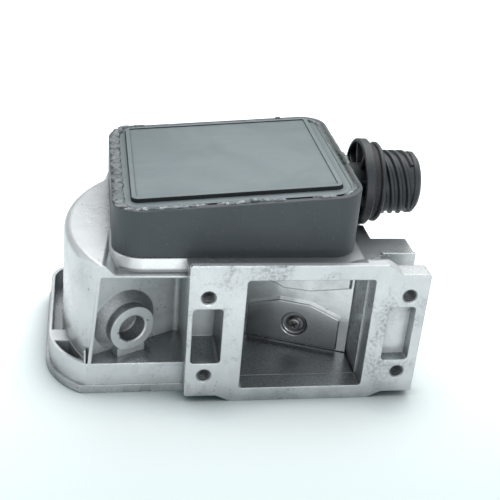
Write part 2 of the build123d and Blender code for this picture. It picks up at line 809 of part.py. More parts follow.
# ---------- connector ----------
conn_axis = Axis((0, conn_y, conn_z), (1, 0, 0))
conn_face = Plane(origin=(0, conn_y, conn_z), x_dir=(0, 1, 0), z_dir=(1, 0, 0))
tube_r = pin_ring_r + pin_r + 1.2
tube_x = cover_right - frame_t - 2

with BuildPart() as connector_shell:
    with BuildSketch(Plane(origin=(0, conn_y, conn_z))) as shell_half:
        with BuildLine():
            Polyline(
                (tube_x, tube_r),
                (tube_x, neck_r),
                (disc_end - disc_web_t, neck_r),
                (disc_end - disc_web_t, disc_r - disc_rim_t),
                (disc_x, disc_r - disc_rim_t),
                (disc_x, disc_r - 0.4),
                (disc_x + 0.4, disc_r),
                (disc_end - 0.6, disc_r),
                (disc_end, disc_r - 0.6),
                (disc_end, waist_r),
                (ring_x, waist_r),
                (ring_x, ring_r - 0.5),
                (ring_x + 0.5, ring_r),
                (barrel_x - 0.7, ring_r),
                (barrel_x, ring_r - 0.7),
                (barrel_x, barrel_r),
                (barrel_end - collar_w, barrel_r),
                (barrel_end - collar_w, barrel_r + rib_h * 0.5),
                (barrel_end - 1.4, barrel_r + rib_h * 0.5),
                (barrel_end, barrel_r - 1.0),
                (barrel_end, barrel_r - barrel_wall),
                (barrel_x + pin_web_t, barrel_r - barrel_wall),
                (barrel_x + pin_web_t, 0),
                (barrel_x, 0),
                (barrel_x, tube_r),
                close=True,
            )
        make_face()
    revolve(axis=conn_axis)
    # stiffening ribs in the back of the disc
    with BuildSketch(conn_face.offset(disc_x + 0.6)):
        with PolarLocations((neck_r + disc_r - disc_rim_t) / 2, 8, start_angle=22.5):
            Rectangle(disc_r - disc_rim_t - neck_r + 1, 1.2)
    extrude(amount=disc_t - disc_web_t)
    # quick thread: helical ribs on the barrel
    rib_start = Vector(barrel_x + 0.6, conn_y, conn_z)
    rib_run = barrel_len - collar_w - 1.6
    rib_path = Helix(rib_pitch, rib_run, barrel_r, center=rib_start, direction=(1, 0, 0))
    with BuildSketch(Plane(origin=rib_path @ 0, z_dir=rib_path % 0, x_dir=rib_path @ 0 - rib_start)):
        with BuildLine():
            Polyline((-0.4, -rib_w), (rib_h, -rib_w / 3), (rib_h, rib_w / 3), (-0.4, rib_w), close=True)
        make_face()
    rib = sweep(path=rib_path, is_frenet=True, mode=Mode.PRIVATE)
    for start in range(rib_starts):
        add(rib.rotate(conn_axis, start * 360 / rib_starts))
    # bores for the contact pins
    with BuildSketch(conn_face.offset(barrel_x)):
        with PolarLocations(pin_ring_r, pin_count, start_angle=90):
            Circle(pin_r)
    extrude(amount=pin_web_t, mode=Mode.SUBTRACT)
connector_shell.part.label = "connector_shell"
export_step(connector_shell.part, "parts/connector_shell.step")

with BuildPart() as connector_seal:
    with BuildSketch(conn_face.offset(disc_end)):
        Circle(ring_r - seal_in)
        Circle(waist_r, mode=Mode.SUBTRACT)
    extrude(amount=ring_gap)
connector_seal.part.label = "connector_seal"
export_step(connector_seal.part, "parts/connector_seal.step")

pin_x = tube_x - 0.5
with BuildPart() as contact_pins:
    with BuildSketch(conn_face.offset(pin_x)):
        with PolarLocations(pin_ring_r, pin_count, start_angle=90):
            Circle(pin_r)
    extrude(amount=barrel_end - 6 - pin_x)
    chamfer(contact_pins.edges().group_by(Axis.X)[-1], 0.5)
contact_pins.part.label = "contact_pins"
export_step(contact_pins.part, "parts/contact_pins.step")

# ---------- potentiometer board and its leads ----------
board_z = seat_z + pad_h
track_z = board_z + board_t
board_left = board_screws_at[2][0] - 3.0
with BuildPart() as track_board:
    with BuildSketch(Plane.XY.offset(board_z)):
        with Locations((board_left, shaft_y)):
            Rectangle(board_w, board_h, align=(Align.MIN, Align.CENTER))
        with Locations((shaft_x, shaft_y)):
            Circle(wheel_tip_r + board_gap, mode=Mode.SUBTRACT)
        with Locations(*board_screws_at):
            Circle(small_screw_r, mode=Mode.SUBTRACT)
    extrude(amount=board_t)
track_board.part.label = "track_board"
export_step(track_board.part, "parts/track_board.step")

lead_t = 0.6
lead_w = 1.6
with BuildPart() as lead_strips:
    for k in range(pin_count):
        turn = math.radians(90 + k * 360 / pin_count)
        lead_y = conn_y + pin_ring_r * math.cos(turn)
        lead_top = conn_z + pin_ring_r * math.sin(turn) + pin_r
        with BuildSketch(Plane.XZ.offset(-lead_y)):
            with BuildLine():
                Polyline(
                    (board_left + board_w - 3, track_z),
                    (pin_x, track_z),
                    (pin_x, lead_top),
                    (pin_x - lead_t, lead_top),
                    (pin_x - lead_t, track_z + lead_t),
                    (board_left + board_w - 3, track_z + lead_t),
                    close=True,
                )
            make_face()
        extrude(amount=lead_w / 2, both=True)
lead_strips.part.label = "lead_strips"
export_step(lead_strips.part, "parts/lead_strips.step")


def small_screws(under_head_z, places):
    """Pan-head screws with a cross recess, pointing down."""
    with BuildPart() as screws:
        with BuildSketch(Plane.XY.offset(under_head_z)):
            with Locations(*places):
                Circle(small_head_r)
        extrude(amount=small_head_h)
        chamfer(screws.edges().group_by(Axis.Z)[-1], small_head_h * 0.3)
        with BuildSketch(Plane.XY.offset(under_head_z + small_head_h)):
            with Locations(*places):
                Rectangle(small_head_r, 0.6)
                Rectangle(0.6, small_head_r)
        extrude(amount=-0.9, mode=Mode.SUBTRACT)
        with BuildSketch(Plane.XY.offset(under_head_z)):
            with Locations(*places):
                Circle(small_screw_r)
        extrude(amount=-small_screw_len)
    return screws.part


board_screws = small_screws(track_z, board_screws_at)
board_screws.label = "board_screws"
export_step(board_screws, "parts/board_screws.step")

# ---------- toothed wheel that sets the spring, and its detent ----------
wheel_z = seat_z + wheel_lift
detent_angle = math.degrees(math.atan2(detent_at[1] - shaft_y, detent_at[0] - shaft_x))
detent_reach = math.dist(detent_at, (shaft_x, shaft_y))
tooth_h = wheel_tip_r - wheel_root_r
with BuildPart() as tension_wheel:
    with BuildSketch(Plane.XY.offset(wheel_z)):
        with Locations((shaft_x, shaft_y)):
            Circle(wheel_root_r)
            first_tooth = detent_angle + 180 / wheel_teeth
            with PolarLocations(wheel_root_r - 0.1, wheel_teeth, start_angle=first_tooth):
                Trapezoid(tooth_h * 1.4, tooth_h + 0.1, 70, rotation=-90, align=(Align.CENTER, Align.MIN))
            Circle(boss_top_r, mode=Mode.SUBTRACT)
    extrude(amount=wheel_h)
    with BuildSketch(Plane.XY.offset(wheel_z + wheel_web_t)):
        with Locations((shaft_x, shaft_y)):
            Circle(wheel_in_r)
    extrude(amount=wheel_h, mode=Mode.SUBTRACT)
    with BuildSketch(Plane.XY.offset(wheel_z)):
        with Locations((shaft_x, shaft_y)):
            with PolarLocations((wheel_in_r + boss_top_r) / 2, 6):
                Circle((wheel_in_r - boss_top_r) / 2 - 2)
    extrude(amount=wheel_web_t, mode=Mode.SUBTRACT)
tension_wheel.part.label = "tension_wheel"
export_step(tension_wheel.part, "parts/tension_wheel.step")

detent_dx = (shaft_x - detent_at[0]) / detent_reach
detent_dy = (shaft_y - detent_at[1]) / detent_reach
with BuildPart() as wheel_detent:
    with BuildSketch(Plane(origin=(*detent_at, board_z), x_dir=(detent_dx, detent_dy, 0))):
        Circle(pad_r - 0.3)
        with BuildLine():
            Polyline(
                (0, -2),
                (detent_reach - wheel_tip_r - 1, -1.4),
                (detent_reach - wheel_root_r - 0.2, 0),
                (detent_reach - wheel_tip_r - 1, 1.4),
                (0, 2),
                close=True,
            )
        make_face()
        Circle(small_screw_r, mode=Mode.SUBTRACT)
    extrude(amount=detent_t)
wheel_detent.part.label = "wheel_detent"
export_step(wheel_detent.part, "parts/wheel_detent.step")

detent_screw = small_screws(board_z + detent_t, [detent_at])
detent_screw.label = "detent_screw"
export_step(detent_screw, "parts/detent_screw.step")


# ---------- bushes and the air temperature sensor ----------
def bush(low_z):
    """Plain bush on the shaft axis."""
    with BuildPart() as ring:
        with BuildSketch(Plane.XY.offset(low_z)):
            with Locations((shaft_x, shaft_y)):
                Circle(bush_r)
                Circle(shaft_d / 2 + bearing_play, mode=Mode.SUBTRACT)
        extrude(amount=bush_len)
    return ring.part


upper_bush = bush(seat_z + boss_top_h - bush_len)
upper_bush.label = "upper_bush"
export_step(upper_bush, "parts/upper_bush.step")

lower_bush = bush(floor_z - bush_len)
lower_bush.label = "lower_bush"
export_step(lower_bush, "parts/lower_bush.step")

with BuildPart() as air_temp_sensor:
    with BuildSketch(Plane(origin=(*sensor_at, 0), z_dir=(0, -1, 0), x_dir=(1, 0, 0))):
        with BuildLine():
            Polyline(
                (0, seat_z + 0.9),
                (sensor_r + 1, seat_z + 0.9),
                (sensor_r + 1, seat_z),
                (sensor_r, seat_z),
                (sensor_r, ceiling_z),
                (sensor_r - 1, ceiling_z - 1),
                (sensor_probe_r, ceiling_z - 2),
                (sensor_probe_r, ceiling_z - sensor_drop + 1),
                (sensor_probe_r - 0.8, ceiling_z - sensor_drop),
                (0, ceiling_z - sensor_drop),
                close=True,
            )
        make_face()
    revolve(axis=Axis((*sensor_at, 0), (0, 0, 1)))
air_temp_sensor.part.label = "air_temp_sensor"
export_step(air_temp_sensor.part, "parts/air_temp_sensor.step")

# ---------- shaft and what turns with it ----------
collar_z = seat_z + boss_top_h + vane_gap
arm_z = collar_z + collar_h
weight_z = arm_z + arm_t
clip_z = weight_z + weight_t + 0.05
clip_t = 0.6
clip_root_r = shaft_d / 2 - 0.6
vane_h = vane_high - vane_low
set_screw_turn = math.radians(rest_angle + 240)
flat_r = shaft_d / 2 - 0.5
set_screw_len = hub_r - 0.4 - flat_r
set_screw_spots = ((0, vane_h * 0.25), (0, vane_h * 0.75))
flat_face = Plane(
    origin=(*around(rest_angle + 240, flat_r), vane_low),
    x_dir=(-math.sin(set_screw_turn), math.cos(set_screw_turn), 0),
    z_dir=(math.cos(set_screw_turn), math.sin(set_screw_turn), 0),
)
with BuildPart() as shaft:
    with BuildSketch(Plane.XY.offset(floor_z - bush_len + 0.1)):
        with Locations((shaft_x, shaft_y)):
            Circle(shaft_d / 2)
    extrude(amount=clip_z + clip_t + 0.9 - (floor_z - bush_len + 0.1))
    chamfer(shaft.edges().group_by(Axis.Z)[-1], 0.4)
    with BuildSketch(Plane.XY.offset(clip_z)):
        with Locations((shaft_x, shaft_y)):
            Circle(shaft_d)
            Circle(clip_root_r, mode=Mode.SUBTRACT)
    extrude(amount=clip_t, mode=Mode.SUBTRACT)
    # flats under the set screws
    with BuildSketch(flat_face):
        with Locations(*set_screw_spots):
            Rectangle(shaft_d, 2 * m3_r + 1)
    extrude(amount=1, mode=Mode.SUBTRACT)
shaft.part.label = "shaft"
export_step(shaft.part, "parts/shaft.step")

with BuildPart() as shaft_clip:
    with BuildSketch(Plane.XY.offset(clip_z)):
        with Locations((shaft_x, shaft_y)):
            Circle(shaft_d / 2 + 1.8)
            Circle(clip_root_r, mode=Mode.SUBTRACT)
            Rectangle(shaft_d, 2 * clip_root_r - 0.8, align=(Align.MIN, Align.CENTER), mode=Mode.SUBTRACT)
    extrude(amount=clip_t)
shaft_clip.part.label = "shaft_clip"
export_step(shaft_clip.part, "parts/shaft_clip.step")

vane_face = Plane(
    origin=(shaft_x, shaft_y, vane_low),
    x_dir=(math.cos(math.radians(rest_angle)), math.sin(math.radians(rest_angle)), 0),
    z_dir=(math.sin(math.radians(rest_angle)), -math.cos(math.radians(rest_angle)), 0),
)
screw_spot = (relief_screw_u, relief_screw_up)
with BuildPart() as air_vane:
    with BuildSketch(Plane.XY.offset(vane_low)):
        add(blade(rest_angle, tip_r, 0, vane_t))
        add(blade(rest_angle + damper_lead, damper_r, -vane_t / 2, vane_t / 2))
        with Locations((shaft_x, shaft_y)):
            Circle(hub_r)
    extrude(amount=vane_h)
    # raised upper field of the measuring vane
    with BuildSketch(vane_face):
        with BuildLine():
            Polyline(
                (hub_r + 5, vane_h - 0.1),
                (hub_r + 5, field_side - 1),
                (relief_from + relief_slant - 3.5, field_low + 2),
                (relief_from + relief_slant + 1.5, field_low),
                (relief_to - relief_slant - 0.5, field_low + 0.6),
                (relief_to, field_side),
                (tip_r - 1, field_side + 0.8),
                (tip_r - 1, vane_h - 0.1),
                close=True,
            )
        make_face()
    extrude(amount=field_h, taper=30)
    # windows under the relief plate, each side of the bar that carries its screw
    with BuildSketch(vane_face):
        window_w = (relief_to - relief_from) / 2 - 9
        window_mid = 4 + window_w / 2
        with Locations(
            (relief_screw_u - window_mid, relief_screw_up),
            (relief_screw_u + window_mid, relief_screw_up),
        ):
            RectangleRounded(window_w, window_h, 1.5)
        with Locations(screw_spot):
            Circle(m3_r + slide_play)
    extrude(amount=-vane_t, mode=Mode.SUBTRACT)
    # shaft bore, and the holes of the set screws
    with Locations((shaft_x, shaft_y, vane_high)):
        Hole(shaft_d / 2)
    with BuildSketch(flat_face):
        with Locations(*set_screw_spots):
            Circle(m3_r)
    extrude(amount=hub_r, mode=Mode.SUBTRACT)
air_vane.part.label = "air_vane"
export_step(air_vane.part, "parts/air_vane.step")

with BuildPart() as set_screws:
    with BuildSketch(flat_face):
        with Locations(*set_screw_spots):
            Circle(m3_r)
    extrude(amount=set_screw_len)
    with BuildSketch(flat_face.offset(set_screw_len)):
        with Locations(*set_screw_spots):
            RegularPolygon(0.9, 6)
    extrude(amount=-1.5, mode=Mode.SUBTRACT)
set_screws.part.label = "set_screws"
export_step(set_screws.part, "parts/set_screws.step")

with BuildPart() as spring_collar:
    with BuildSketch(Plane.XY.offset(collar_z)):
        with Locations((shaft_x, shaft_y)):
            Circle(collar_r)
            Circle(shaft_d / 2, mode=Mode.SUBTRACT)
    extrude(amount=collar_h)
spring_collar.part.label = "spring_collar"
export_step(spring_collar.part, "parts/spring_collar.step")

# spiral spring of half turns between the collar and the rim of the wheel
spring_in = collar_r + spring_strip / 2
spring_grow = (wheel_in_r - spring_strip / 2 - spring_in) / (2 * spring_turns)
with BuildPart() as return_spring:
    with BuildSketch(Plane.XY.offset(collar_z + 0.3)):
        with BuildLine() as coil:
            for half in range(2 * spring_turns):
                side = 1 if half % 2 == 0 else -1
                near = spring_in + half * spring_grow
                far = near + spring_grow
                middle = side * (near - far) / 2
                ThreePointArc(
                    (shaft_x + side * near, shaft_y),
                    (shaft_x + middle, shaft_y + side * (near + far) / 2),
                    (shaft_x - side * far, shaft_y),
                )
        trace(coil.line, line_width=spring_strip)
    extrude(amount=spring_w)
return_spring.part.label = "return_spring"
export_step(return_spring.part, "parts/return_spring.step")

with BuildPart() as wiper_arm:
    with BuildSketch(Plane.XY.offset(arm_z)):
        add(blade(wiper_rest, track_r + 1, -2.6, 2.6))
        with Locations((shaft_x, shaft_y)):
            Circle(collar_r)
            Circle(shaft_d / 2, mode=Mode.SUBTRACT)
    extrude(amount=arm_t)
wiper_arm.part.label = "wiper_arm"
export_step(wiper_arm.part, "parts/wiper_arm.step")

wiper_turn = math.radians(wiper_rest)
wiper_side = Plane(
    origin=(shaft_x, shaft_y, 0),
    x_dir=(math.cos(wiper_turn), math.sin(wiper_turn), 0),
    z_dir=(math.sin(wiper_turn), -math.cos(wiper_turn), 0),
)
with BuildPart() as wiper_fingers:
    with BuildSketch(wiper_side):
        with BuildLine():
            Polyline(
                (track_r + 1, arm_z + arm_t),
                (track_r + 1.4, arm_z + arm_t),
                (track_r + 1.4, track_z + lay_gap),
                (track_r - 1, track_z + lay_gap),
                (track_r - 1, track_z + lay_gap + 0.4),
                (track_r + 1, track_z + lay_gap + 0.4),
                close=True,
            )
        make_face()
    extrude(amount=2, both=True)
    # slot between the fingers
    with BuildSketch(Plane.XY.offset(track_z)):
        add(blade(wiper_rest, track_r + 4, -0.3, 0.3))
    extrude(amount=5, mode=Mode.SUBTRACT)
wiper_fingers.part.label = "wiper_fingers"
export_step(wiper_fingers.part, "parts/wiper_fingers.step")

with BuildPart() as counterweight:
    with BuildSketch(Plane.XY.offset(weight_z)):
        add(sector(weight_r, wiper_rest + 180 - weight_span / 2, wiper_rest + 180 + weight_span / 2))
        with Locations((shaft_x, shaft_y)):
            Circle(collar_r)
            Circle(shaft_d / 2, mode=Mode.SUBTRACT)
    extrude(amount=weight_t)
counterweight.part.label = "counterweight"
export_step(counterweight.part, "parts/counterweight.step")

# ---------- relief valve on the measuring vane ----------
with BuildPart() as relief_plate:
    with BuildSketch(vane_face):
        with BuildLine():
            Polyline(
                (relief_from, relief_low),
                (relief_to, relief_low),
                (relief_to, relief_side_h),
                (relief_to - relief_slant, relief_h),
                (relief_from + relief_slant, relief_h),
                (relief_from, relief_side_h),
                close=True,
            )
        make_face()
    extrude(amount=relief_t)
    chamfer(relief_plate.faces().sort_by(Axis(vane_face.origin, vane_face.z_dir))[-1].edges(), 0.5)
    with BuildSketch(vane_face.offset(relief_t)):
        with Locations(screw_spot):
            Circle(dish_r)
    extrude(amount=-dish_deep, taper=35, mode=Mode.SUBTRACT)
    with BuildSketch(vane_face):
        with Locations(screw_spot):
            Circle(m3_r)
    extrude(amount=relief_t, mode=Mode.SUBTRACT)
relief_plate.part.label = "relief_plate"
export_step(relief_plate.part, "parts/relief_plate.step")

head_face = vane_face.offset(relief_t - dish_deep)
nut_face = vane_face.offset(-vane_t - relief_spring_len)
with BuildPart() as relief_screw:
    with BuildSketch(head_face):
        with Locations(screw_spot):
            Circle(m3_head_r)
    extrude(amount=m3_head_h)
    fillet(relief_screw.faces().sort_by(Axis(head_face.origin, head_face.z_dir))[-1].edges(), 0.9)
    with BuildSketch(head_face.offset(m3_head_h)):
        with Locations(screw_spot):
            Rectangle(m3_head_r * 1.1, 0.7, rotation=35)
            Rectangle(0.7, m3_head_r * 1.1, rotation=35)
    extrude(amount=-1.1, mode=Mode.SUBTRACT)
    with BuildSketch(head_face):
        with Locations(screw_spot):
            Circle(m3_r)
    extrude(amount=-(relief_t - dish_deep + vane_t + relief_spring_len + nut_h))
relief_screw.part.label = "relief_screw"
export_step(relief_screw.part, "parts/relief_screw.step")

with BuildPart() as relief_nut:
    with BuildSketch(nut_face):
        with Locations(screw_spot):
            RegularPolygon(nut_r, 6)
            Circle(m3_r, mode=Mode.SUBTRACT)
    extrude(amount=-nut_h)
relief_nut.part.label = "relief_nut"
export_step(relief_nut.part, "parts/relief_nut.step")

spring_wire = 0.6
coil_r = m3_r + spring_wire / 2 + 0.15
back_face = vane_face.offset(-vane_t - spring_wire / 2)
coil_start = back_face.from_local_coords((*screw_spot, 0))
with BuildPart() as relief_spring:
    relief_coil = Helix(
        (relief_spring_len - spring_wire) / 2,
        relief_spring_len - spring_wire,
        coil_r,
        center=coil_start,
        direction=vane_face.z_dir * -1,
    )
    with BuildSketch(Plane(origin=relief_coil @ 0, z_dir=relief_coil % 0)):
        Circle(spring_wire / 2)
    sweep(path=relief_coil, is_frenet=True)
relief_spring.part.label = "relief_spring"
export_step(relief_spring.part, "parts/relief_spring.step")
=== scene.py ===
import bpy
import json
import math
from mathutils import Matrix, Vector


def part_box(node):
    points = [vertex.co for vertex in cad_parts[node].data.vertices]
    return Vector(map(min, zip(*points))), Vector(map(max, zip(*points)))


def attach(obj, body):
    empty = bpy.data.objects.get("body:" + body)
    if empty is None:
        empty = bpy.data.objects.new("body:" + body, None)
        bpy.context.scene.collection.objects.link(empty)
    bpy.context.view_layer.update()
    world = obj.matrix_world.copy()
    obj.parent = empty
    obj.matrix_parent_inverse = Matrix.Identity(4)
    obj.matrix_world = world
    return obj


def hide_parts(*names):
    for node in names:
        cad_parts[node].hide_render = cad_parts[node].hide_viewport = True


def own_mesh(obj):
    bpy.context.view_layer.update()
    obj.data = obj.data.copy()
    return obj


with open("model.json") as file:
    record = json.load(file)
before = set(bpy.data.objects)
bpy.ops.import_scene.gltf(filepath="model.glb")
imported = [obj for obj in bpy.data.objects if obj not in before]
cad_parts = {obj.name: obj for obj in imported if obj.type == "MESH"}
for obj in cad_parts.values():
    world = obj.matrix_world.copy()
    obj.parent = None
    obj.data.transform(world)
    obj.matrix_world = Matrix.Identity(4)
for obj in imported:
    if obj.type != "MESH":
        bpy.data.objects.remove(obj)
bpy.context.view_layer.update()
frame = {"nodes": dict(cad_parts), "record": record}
nodes = frame["nodes"]
mm = 0.001
bpy.ops.object.select_all(action="DESELECT")
print("frame loaded,", len(nodes), "nodes")

# camera and lamps
cameraFacts = {
    "place": (-0.08793, -0.31645, 0.21173),
    "yaw": -10.94,
    "pitch": 27.99,
    "roll": 5.10,
    "lens": 67.94,
    "sensor": 36.0,
    "clip": (0.01, 20.0),
}

lampFacts = {
    # name: (place, target, size, watts, colour)
    "backKey": ((0.10, 0.34, 0.80), (-0.02, 0.05, 0.0), 1.0, 8.5, (1.0, 1.0, 1.0)),
    "leftKey": ((-0.75, 0.10, 0.50), (-0.03, 0.05, 0.0), 0.5, 1.8, (0.97, 0.99, 1.0)),
    "frontKey": ((-0.10, -1.30, 0.42), (0.0, 0.0, 0.0), 1.9, 7.5, (0.96, 0.99, 1.0)),
    "lowKey": ((0.08, -1.20, 0.03), (0.0, 0.0, 0.0), 0.3, 3.0, (0.96, 0.99, 1.0)),
    "rightFill": ((0.75, 0.20, 0.40), (0.0, 0.05, 0.0), 0.5, 0.6, (1.0, 1.0, 1.0)),
}


def setUpCamera():
    yaw = math.radians(cameraFacts["yaw"])
    pitch = math.radians(cameraFacts["pitch"])
    roll = math.radians(cameraFacts["roll"])
    back = Vector((math.sin(yaw) * math.cos(pitch), -math.cos(yaw) * math.cos(pitch), math.sin(pitch)))
    right = Vector((math.cos(yaw), math.sin(yaw), 0.0))
    up = back.cross(right)
    rolledRight = right * math.cos(roll) + up * math.sin(roll)
    rolledUp = up * math.cos(roll) - right * math.sin(roll)
    turn = Matrix((rolledRight, rolledUp, back)).transposed()
    bpy.ops.object.camera_add()
    camera = bpy.context.object
    camera.matrix_world = Matrix.Translation(cameraFacts["place"]) @ turn.to_4x4()
    camera.data.sensor_width = cameraFacts["sensor"]
    camera.data.lens = cameraFacts["lens"]
    camera.data.clip_start, camera.data.clip_end = cameraFacts["clip"]
    bpy.context.scene.camera = camera


def setUpLamps():
    for name, (place, target, size, watts, colour) in lampFacts.items():
        bpy.ops.object.light_add(type="AREA", location=place)
        lamp = bpy.context.object
        lamp.name = name
        lamp.data.size = size
        lamp.data.energy = watts
        lamp.data.color = colour
        away = Vector(place) - Vector(target)
        lamp.rotation_euler = away.to_track_quat("Z", "Y").to_euler()


# helpers for the materials
def newMaterial(name):
    material = bpy.data.materials.new(name)
    material.use_nodes = True
    tree = material.node_tree
    return material, tree, tree.nodes["Principled BSDF"]


def addNode(tree, kind, inputs=None, **settings):
    node = tree.nodes.new(kind)
    for key, value in settings.items():
        setattr(node, key, value)
    for key, value in (inputs or {}).items():
        if isinstance(value, bpy.types.NodeSocket):
            tree.links.new(value, node.inputs[key])
        else:
            node.inputs[key].default_value = value
    return node


def objectPoint(tree):
    return addNode(tree, "ShaderNodeTexCoord").outputs["Object"]


def noise(tree, scale, detail, roughness, distortion=0.0, point=None):
    return addNode(tree, "ShaderNodeTexNoise", {
        "Vector": point or objectPoint(tree),
        "Scale": scale,
        "Detail": detail,
        "Roughness": roughness,
        "Distortion": distortion,
    }).outputs["Fac"]


def stretched(tree, scales, turn=(0.0, 0.0, 0.0)):
    return addNode(tree, "ShaderNodeMapping", {
        "Vector": objectPoint(tree),
        "Rotation": turn,
        "Scale": scales,
    }).outputs["Vector"]


def between(tree, value, low, high, toLow=0.0, toHigh=1.0):
    return addNode(tree, "ShaderNodeMapRange", {
        "Value": value,
        "From Min": low,
        "From Max": high,
        "To Min": toLow,
        "To Max": toHigh,
    }).outputs["Result"]


def maths(tree, operation, first, second=0.5):
    node = addNode(tree, "ShaderNodeMath", operation=operation)
    for socket, value in zip(node.inputs, (first, second)):
        if isinstance(value, bpy.types.NodeSocket):
            tree.links.new(value, socket)
        else:
            socket.default_value = value
    return node.outputs[0]


def times(tree, first, *others):
    for other in others:
        first = maths(tree, "MULTIPLY", first, other)
    return first


def plus(tree, first, second):
    return maths(tree, "ADD", first, second)


def minus(tree, first, second):
    return maths(tree, "SUBTRACT", first, second)


def largest(tree, first, *others):
    for other in others:
        first = maths(tree, "MAXIMUM", first, other)
    return first


def absolute(tree, value):
    return maths(tree, "ABSOLUTE", value)


def radiusOf(tree, first, second):
    return maths(tree, "SQRT", plus(tree, times(tree, first, first), times(tree, second, second)))


def openTo(tree, reach, samples=4, **settings):
    node = addNode(tree, "ShaderNodeAmbientOcclusion", {"Distance": reach}, samples=samples, **settings)
    return node.outputs["AO"]


def mixed(tree, factor, first, second):
    node = addNode(tree, "ShaderNodeMix", data_type="RGBA")
    for socket, value in ((node.inputs[0], factor), (node.inputs[6], first), (node.inputs[7], second)):
        if isinstance(value, bpy.types.NodeSocket):
            tree.links.new(value, socket)
        else:
            socket.default_value = value
    return node.outputs[2]


def bumped(tree, height, strength, distance, normal=None):
    inputs = {"Height": height, "Strength": strength, "Distance": distance}
    if normal is not None:
        inputs["Normal"] = normal
    return addNode(tree, "ShaderNodeBump", inputs).outputs["Normal"]


def split(tree, vector):
    return addNode(tree, "ShaderNodeSeparateXYZ", {"Vector": vector}).outputs


def soft(tree, radius, samples=4):
    return addNode(tree, "ShaderNodeBevel", {"Radius": radius}, samples=samples).outputs["Normal"]


# cast aluminium of the housing and the base plate
castFacts = {
    "pale": (0.78, 0.815, 0.825, 1.0),
    "dull": (0.58, 0.615, 0.63, 1.0),
    # this colour also paints shade: along the foot, round the boss, on the bolt-hole rims and in the plinth's
    # shadow line
    "grime": (0.16, 0.17, 0.18, 1.0),
    "pit": (0.10, 0.105, 0.11, 1.0),
    "shade": (0.16, 0.175, 0.185, 1.0),
    # how far a recess and a corner reach, and how closed they are when painted shade darkens them
    "recessReach": 0.035,
    "recessOpen": (0.15, 0.72),
    "recess": 0.90,
    "floorOpen": (0.35, 0.80),
    "floors": 0.95,
    "cornerReach": 0.006,
    "cornerOpen": (0.35, 0.85),
    # faces that look to the front, by the Y of their normal, and to the top, by its Z
    "frontFacing": (-0.8, -0.2),
    "topFacing": (0.6, 0.9),
    # oily film on the floor of the air passage
    "film": 0.96,
    "passageHalf": 0.0262,
    "passageFront": 0.0003,
    "passageFloor": (-0.0245, -0.0215),
    # painted shade along the foot, and stains that are strongest on the flange's face
    "foot": 0.55,
    "footHeight": (-0.0305, -0.0225),
    "flangeFace": (0.0, 0.0006, 1.0, 0.32),
    # from which to which value a pattern shows, and how strongly
    "dulled": (0.35, 0.65),
    "blotch": (0.42, 0.66, 0.0, 0.35),
    "cornerDirt": (0.25, 0.7, 0.30, 0.80),
    "footDirt": (0.35, 0.62, 0.35, 1.0),
    "stainPatch": (0.51, 0.62),
    "stainSpeck": (0.44, 0.56, 0.05, 0.55),
    "mottle": (0.35, 0.65, 0.0, 0.22),
    "pits": (0.66, 0.70),
    "pitPatch": (0.52, 0.62),
    "pitted": 0.8,
    "rough": (0.3, 0.7, 0.22, 0.40),
    # metal that stands open, and sheltered metal that looks to the front
    "metallic": 0.75,
    "metallicInside": 0.35,
    "shelterOpen": (0.40, 0.85),
    "shelterFacing": (-0.8, -0.3),
    # unevenness: (strength, height), and the width of the rounded edges
    "waves": (0.25, 0.0006),
    "grain": (0.5, 0.00007),
    "pitDepth": (0.6, 0.0002),
    "edge": 0.0007,
}

castPatterns = {
    # pattern: (scale, detail, roughness, distortion)
    "broad": (26.0, 5.0, 0.6, 0.0),
    "fine": (900.0, 3.0, 0.6, 0.0),
    "blotch": (75.0, 6.0, 0.65, 0.6),
    "cornerDirt": (120.0, 4.0, 0.6, 0.0),
    "footDirt": (90.0, 5.0, 0.65, 0.0),
    "stainPatch": (48.0, 5.0, 0.7, 0.6),
    "stainSpeck": (620.0, 4.0, 0.7, 0.0),
    "mottle": (1100.0, 2.0, 0.6, 0.0),
    "pit": (620.0, 2.0, 0.5, 0.0),
    "pitPatch": (55.0, 3.0, 0.6, 0.0),
    "wave": (60.0, 3.0, 0.5, 0.0),
}

# painted shade: a dark band round the foot of the boss, and its hollow painted dark
bossMark = {
    "seat": (-0.07534, 0.02446, -0.0045),
    "way": (0.454, -0.891),
    "ringRadius": (0.0140, 0.0144),
    "ringFrom": (0.0030, 0.0036),
    "ringTo": (0.0098, 0.0104),
    "ringBottom": (-0.0095, -0.0065),
    "ring": 0.72,
    "boreRadius": (0.0058, 0.0061),
    "boreFrom": 0.0015,
    "boreTo": (0.0098, 0.0106),
    "bore": 0.78,
}


def bossShade(tree, place):
    facts = bossMark
    wayX, wayY = facts["way"]
    fromX = minus(tree, place["X"], facts["seat"][0])
    fromY = minus(tree, place["Y"], facts["seat"][1])
    upwards = minus(tree, place["Z"], facts["seat"][2])
    outwards = plus(tree, times(tree, fromX, wayX), times(tree, fromY, wayY))
    sideways = minus(tree, times(tree, fromY, wayX), times(tree, fromX, wayY))
    radius = radiusOf(tree, sideways, upwards)
    ring = times(
        tree,
        between(tree, radius, *facts["ringRadius"], facts["ring"], 0.0),
        between(tree, outwards, *facts["ringTo"], 1.0, 0.0),
        between(tree, outwards, *facts["ringFrom"]),
        between(tree, upwards, *facts["ringBottom"]),
    )
    bore = times(
        tree,
        between(tree, radius, *facts["boreRadius"], facts["bore"], 0.0),
        between(tree, outwards, *facts["boreTo"], 1.0, 0.0),
        maths(tree, "GREATER_THAN", outwards, facts["boreFrom"]),
    )
    return largest(tree, ring, bore)


# painted shade on the rims of the four bolt holes
holeMark = {
    "across": 0.0415,
    "above": 0.0187,
    "radius": (0.0031, 0.0034),
    "depth": 0.0010,
    "lip": 0.85,
}


def holeShade(tree, place):
    facts = holeMark
    across = minus(tree, absolute(tree, place["X"]), facts["across"])
    above = minus(tree, absolute(tree, place["Z"]), facts["above"])
    lip = between(tree, radiusOf(tree, across, above), *facts["radius"], facts["lip"], 0.0)
    return times(tree, lip, maths(tree, "LESS_THAN", place["Y"], facts["depth"]))
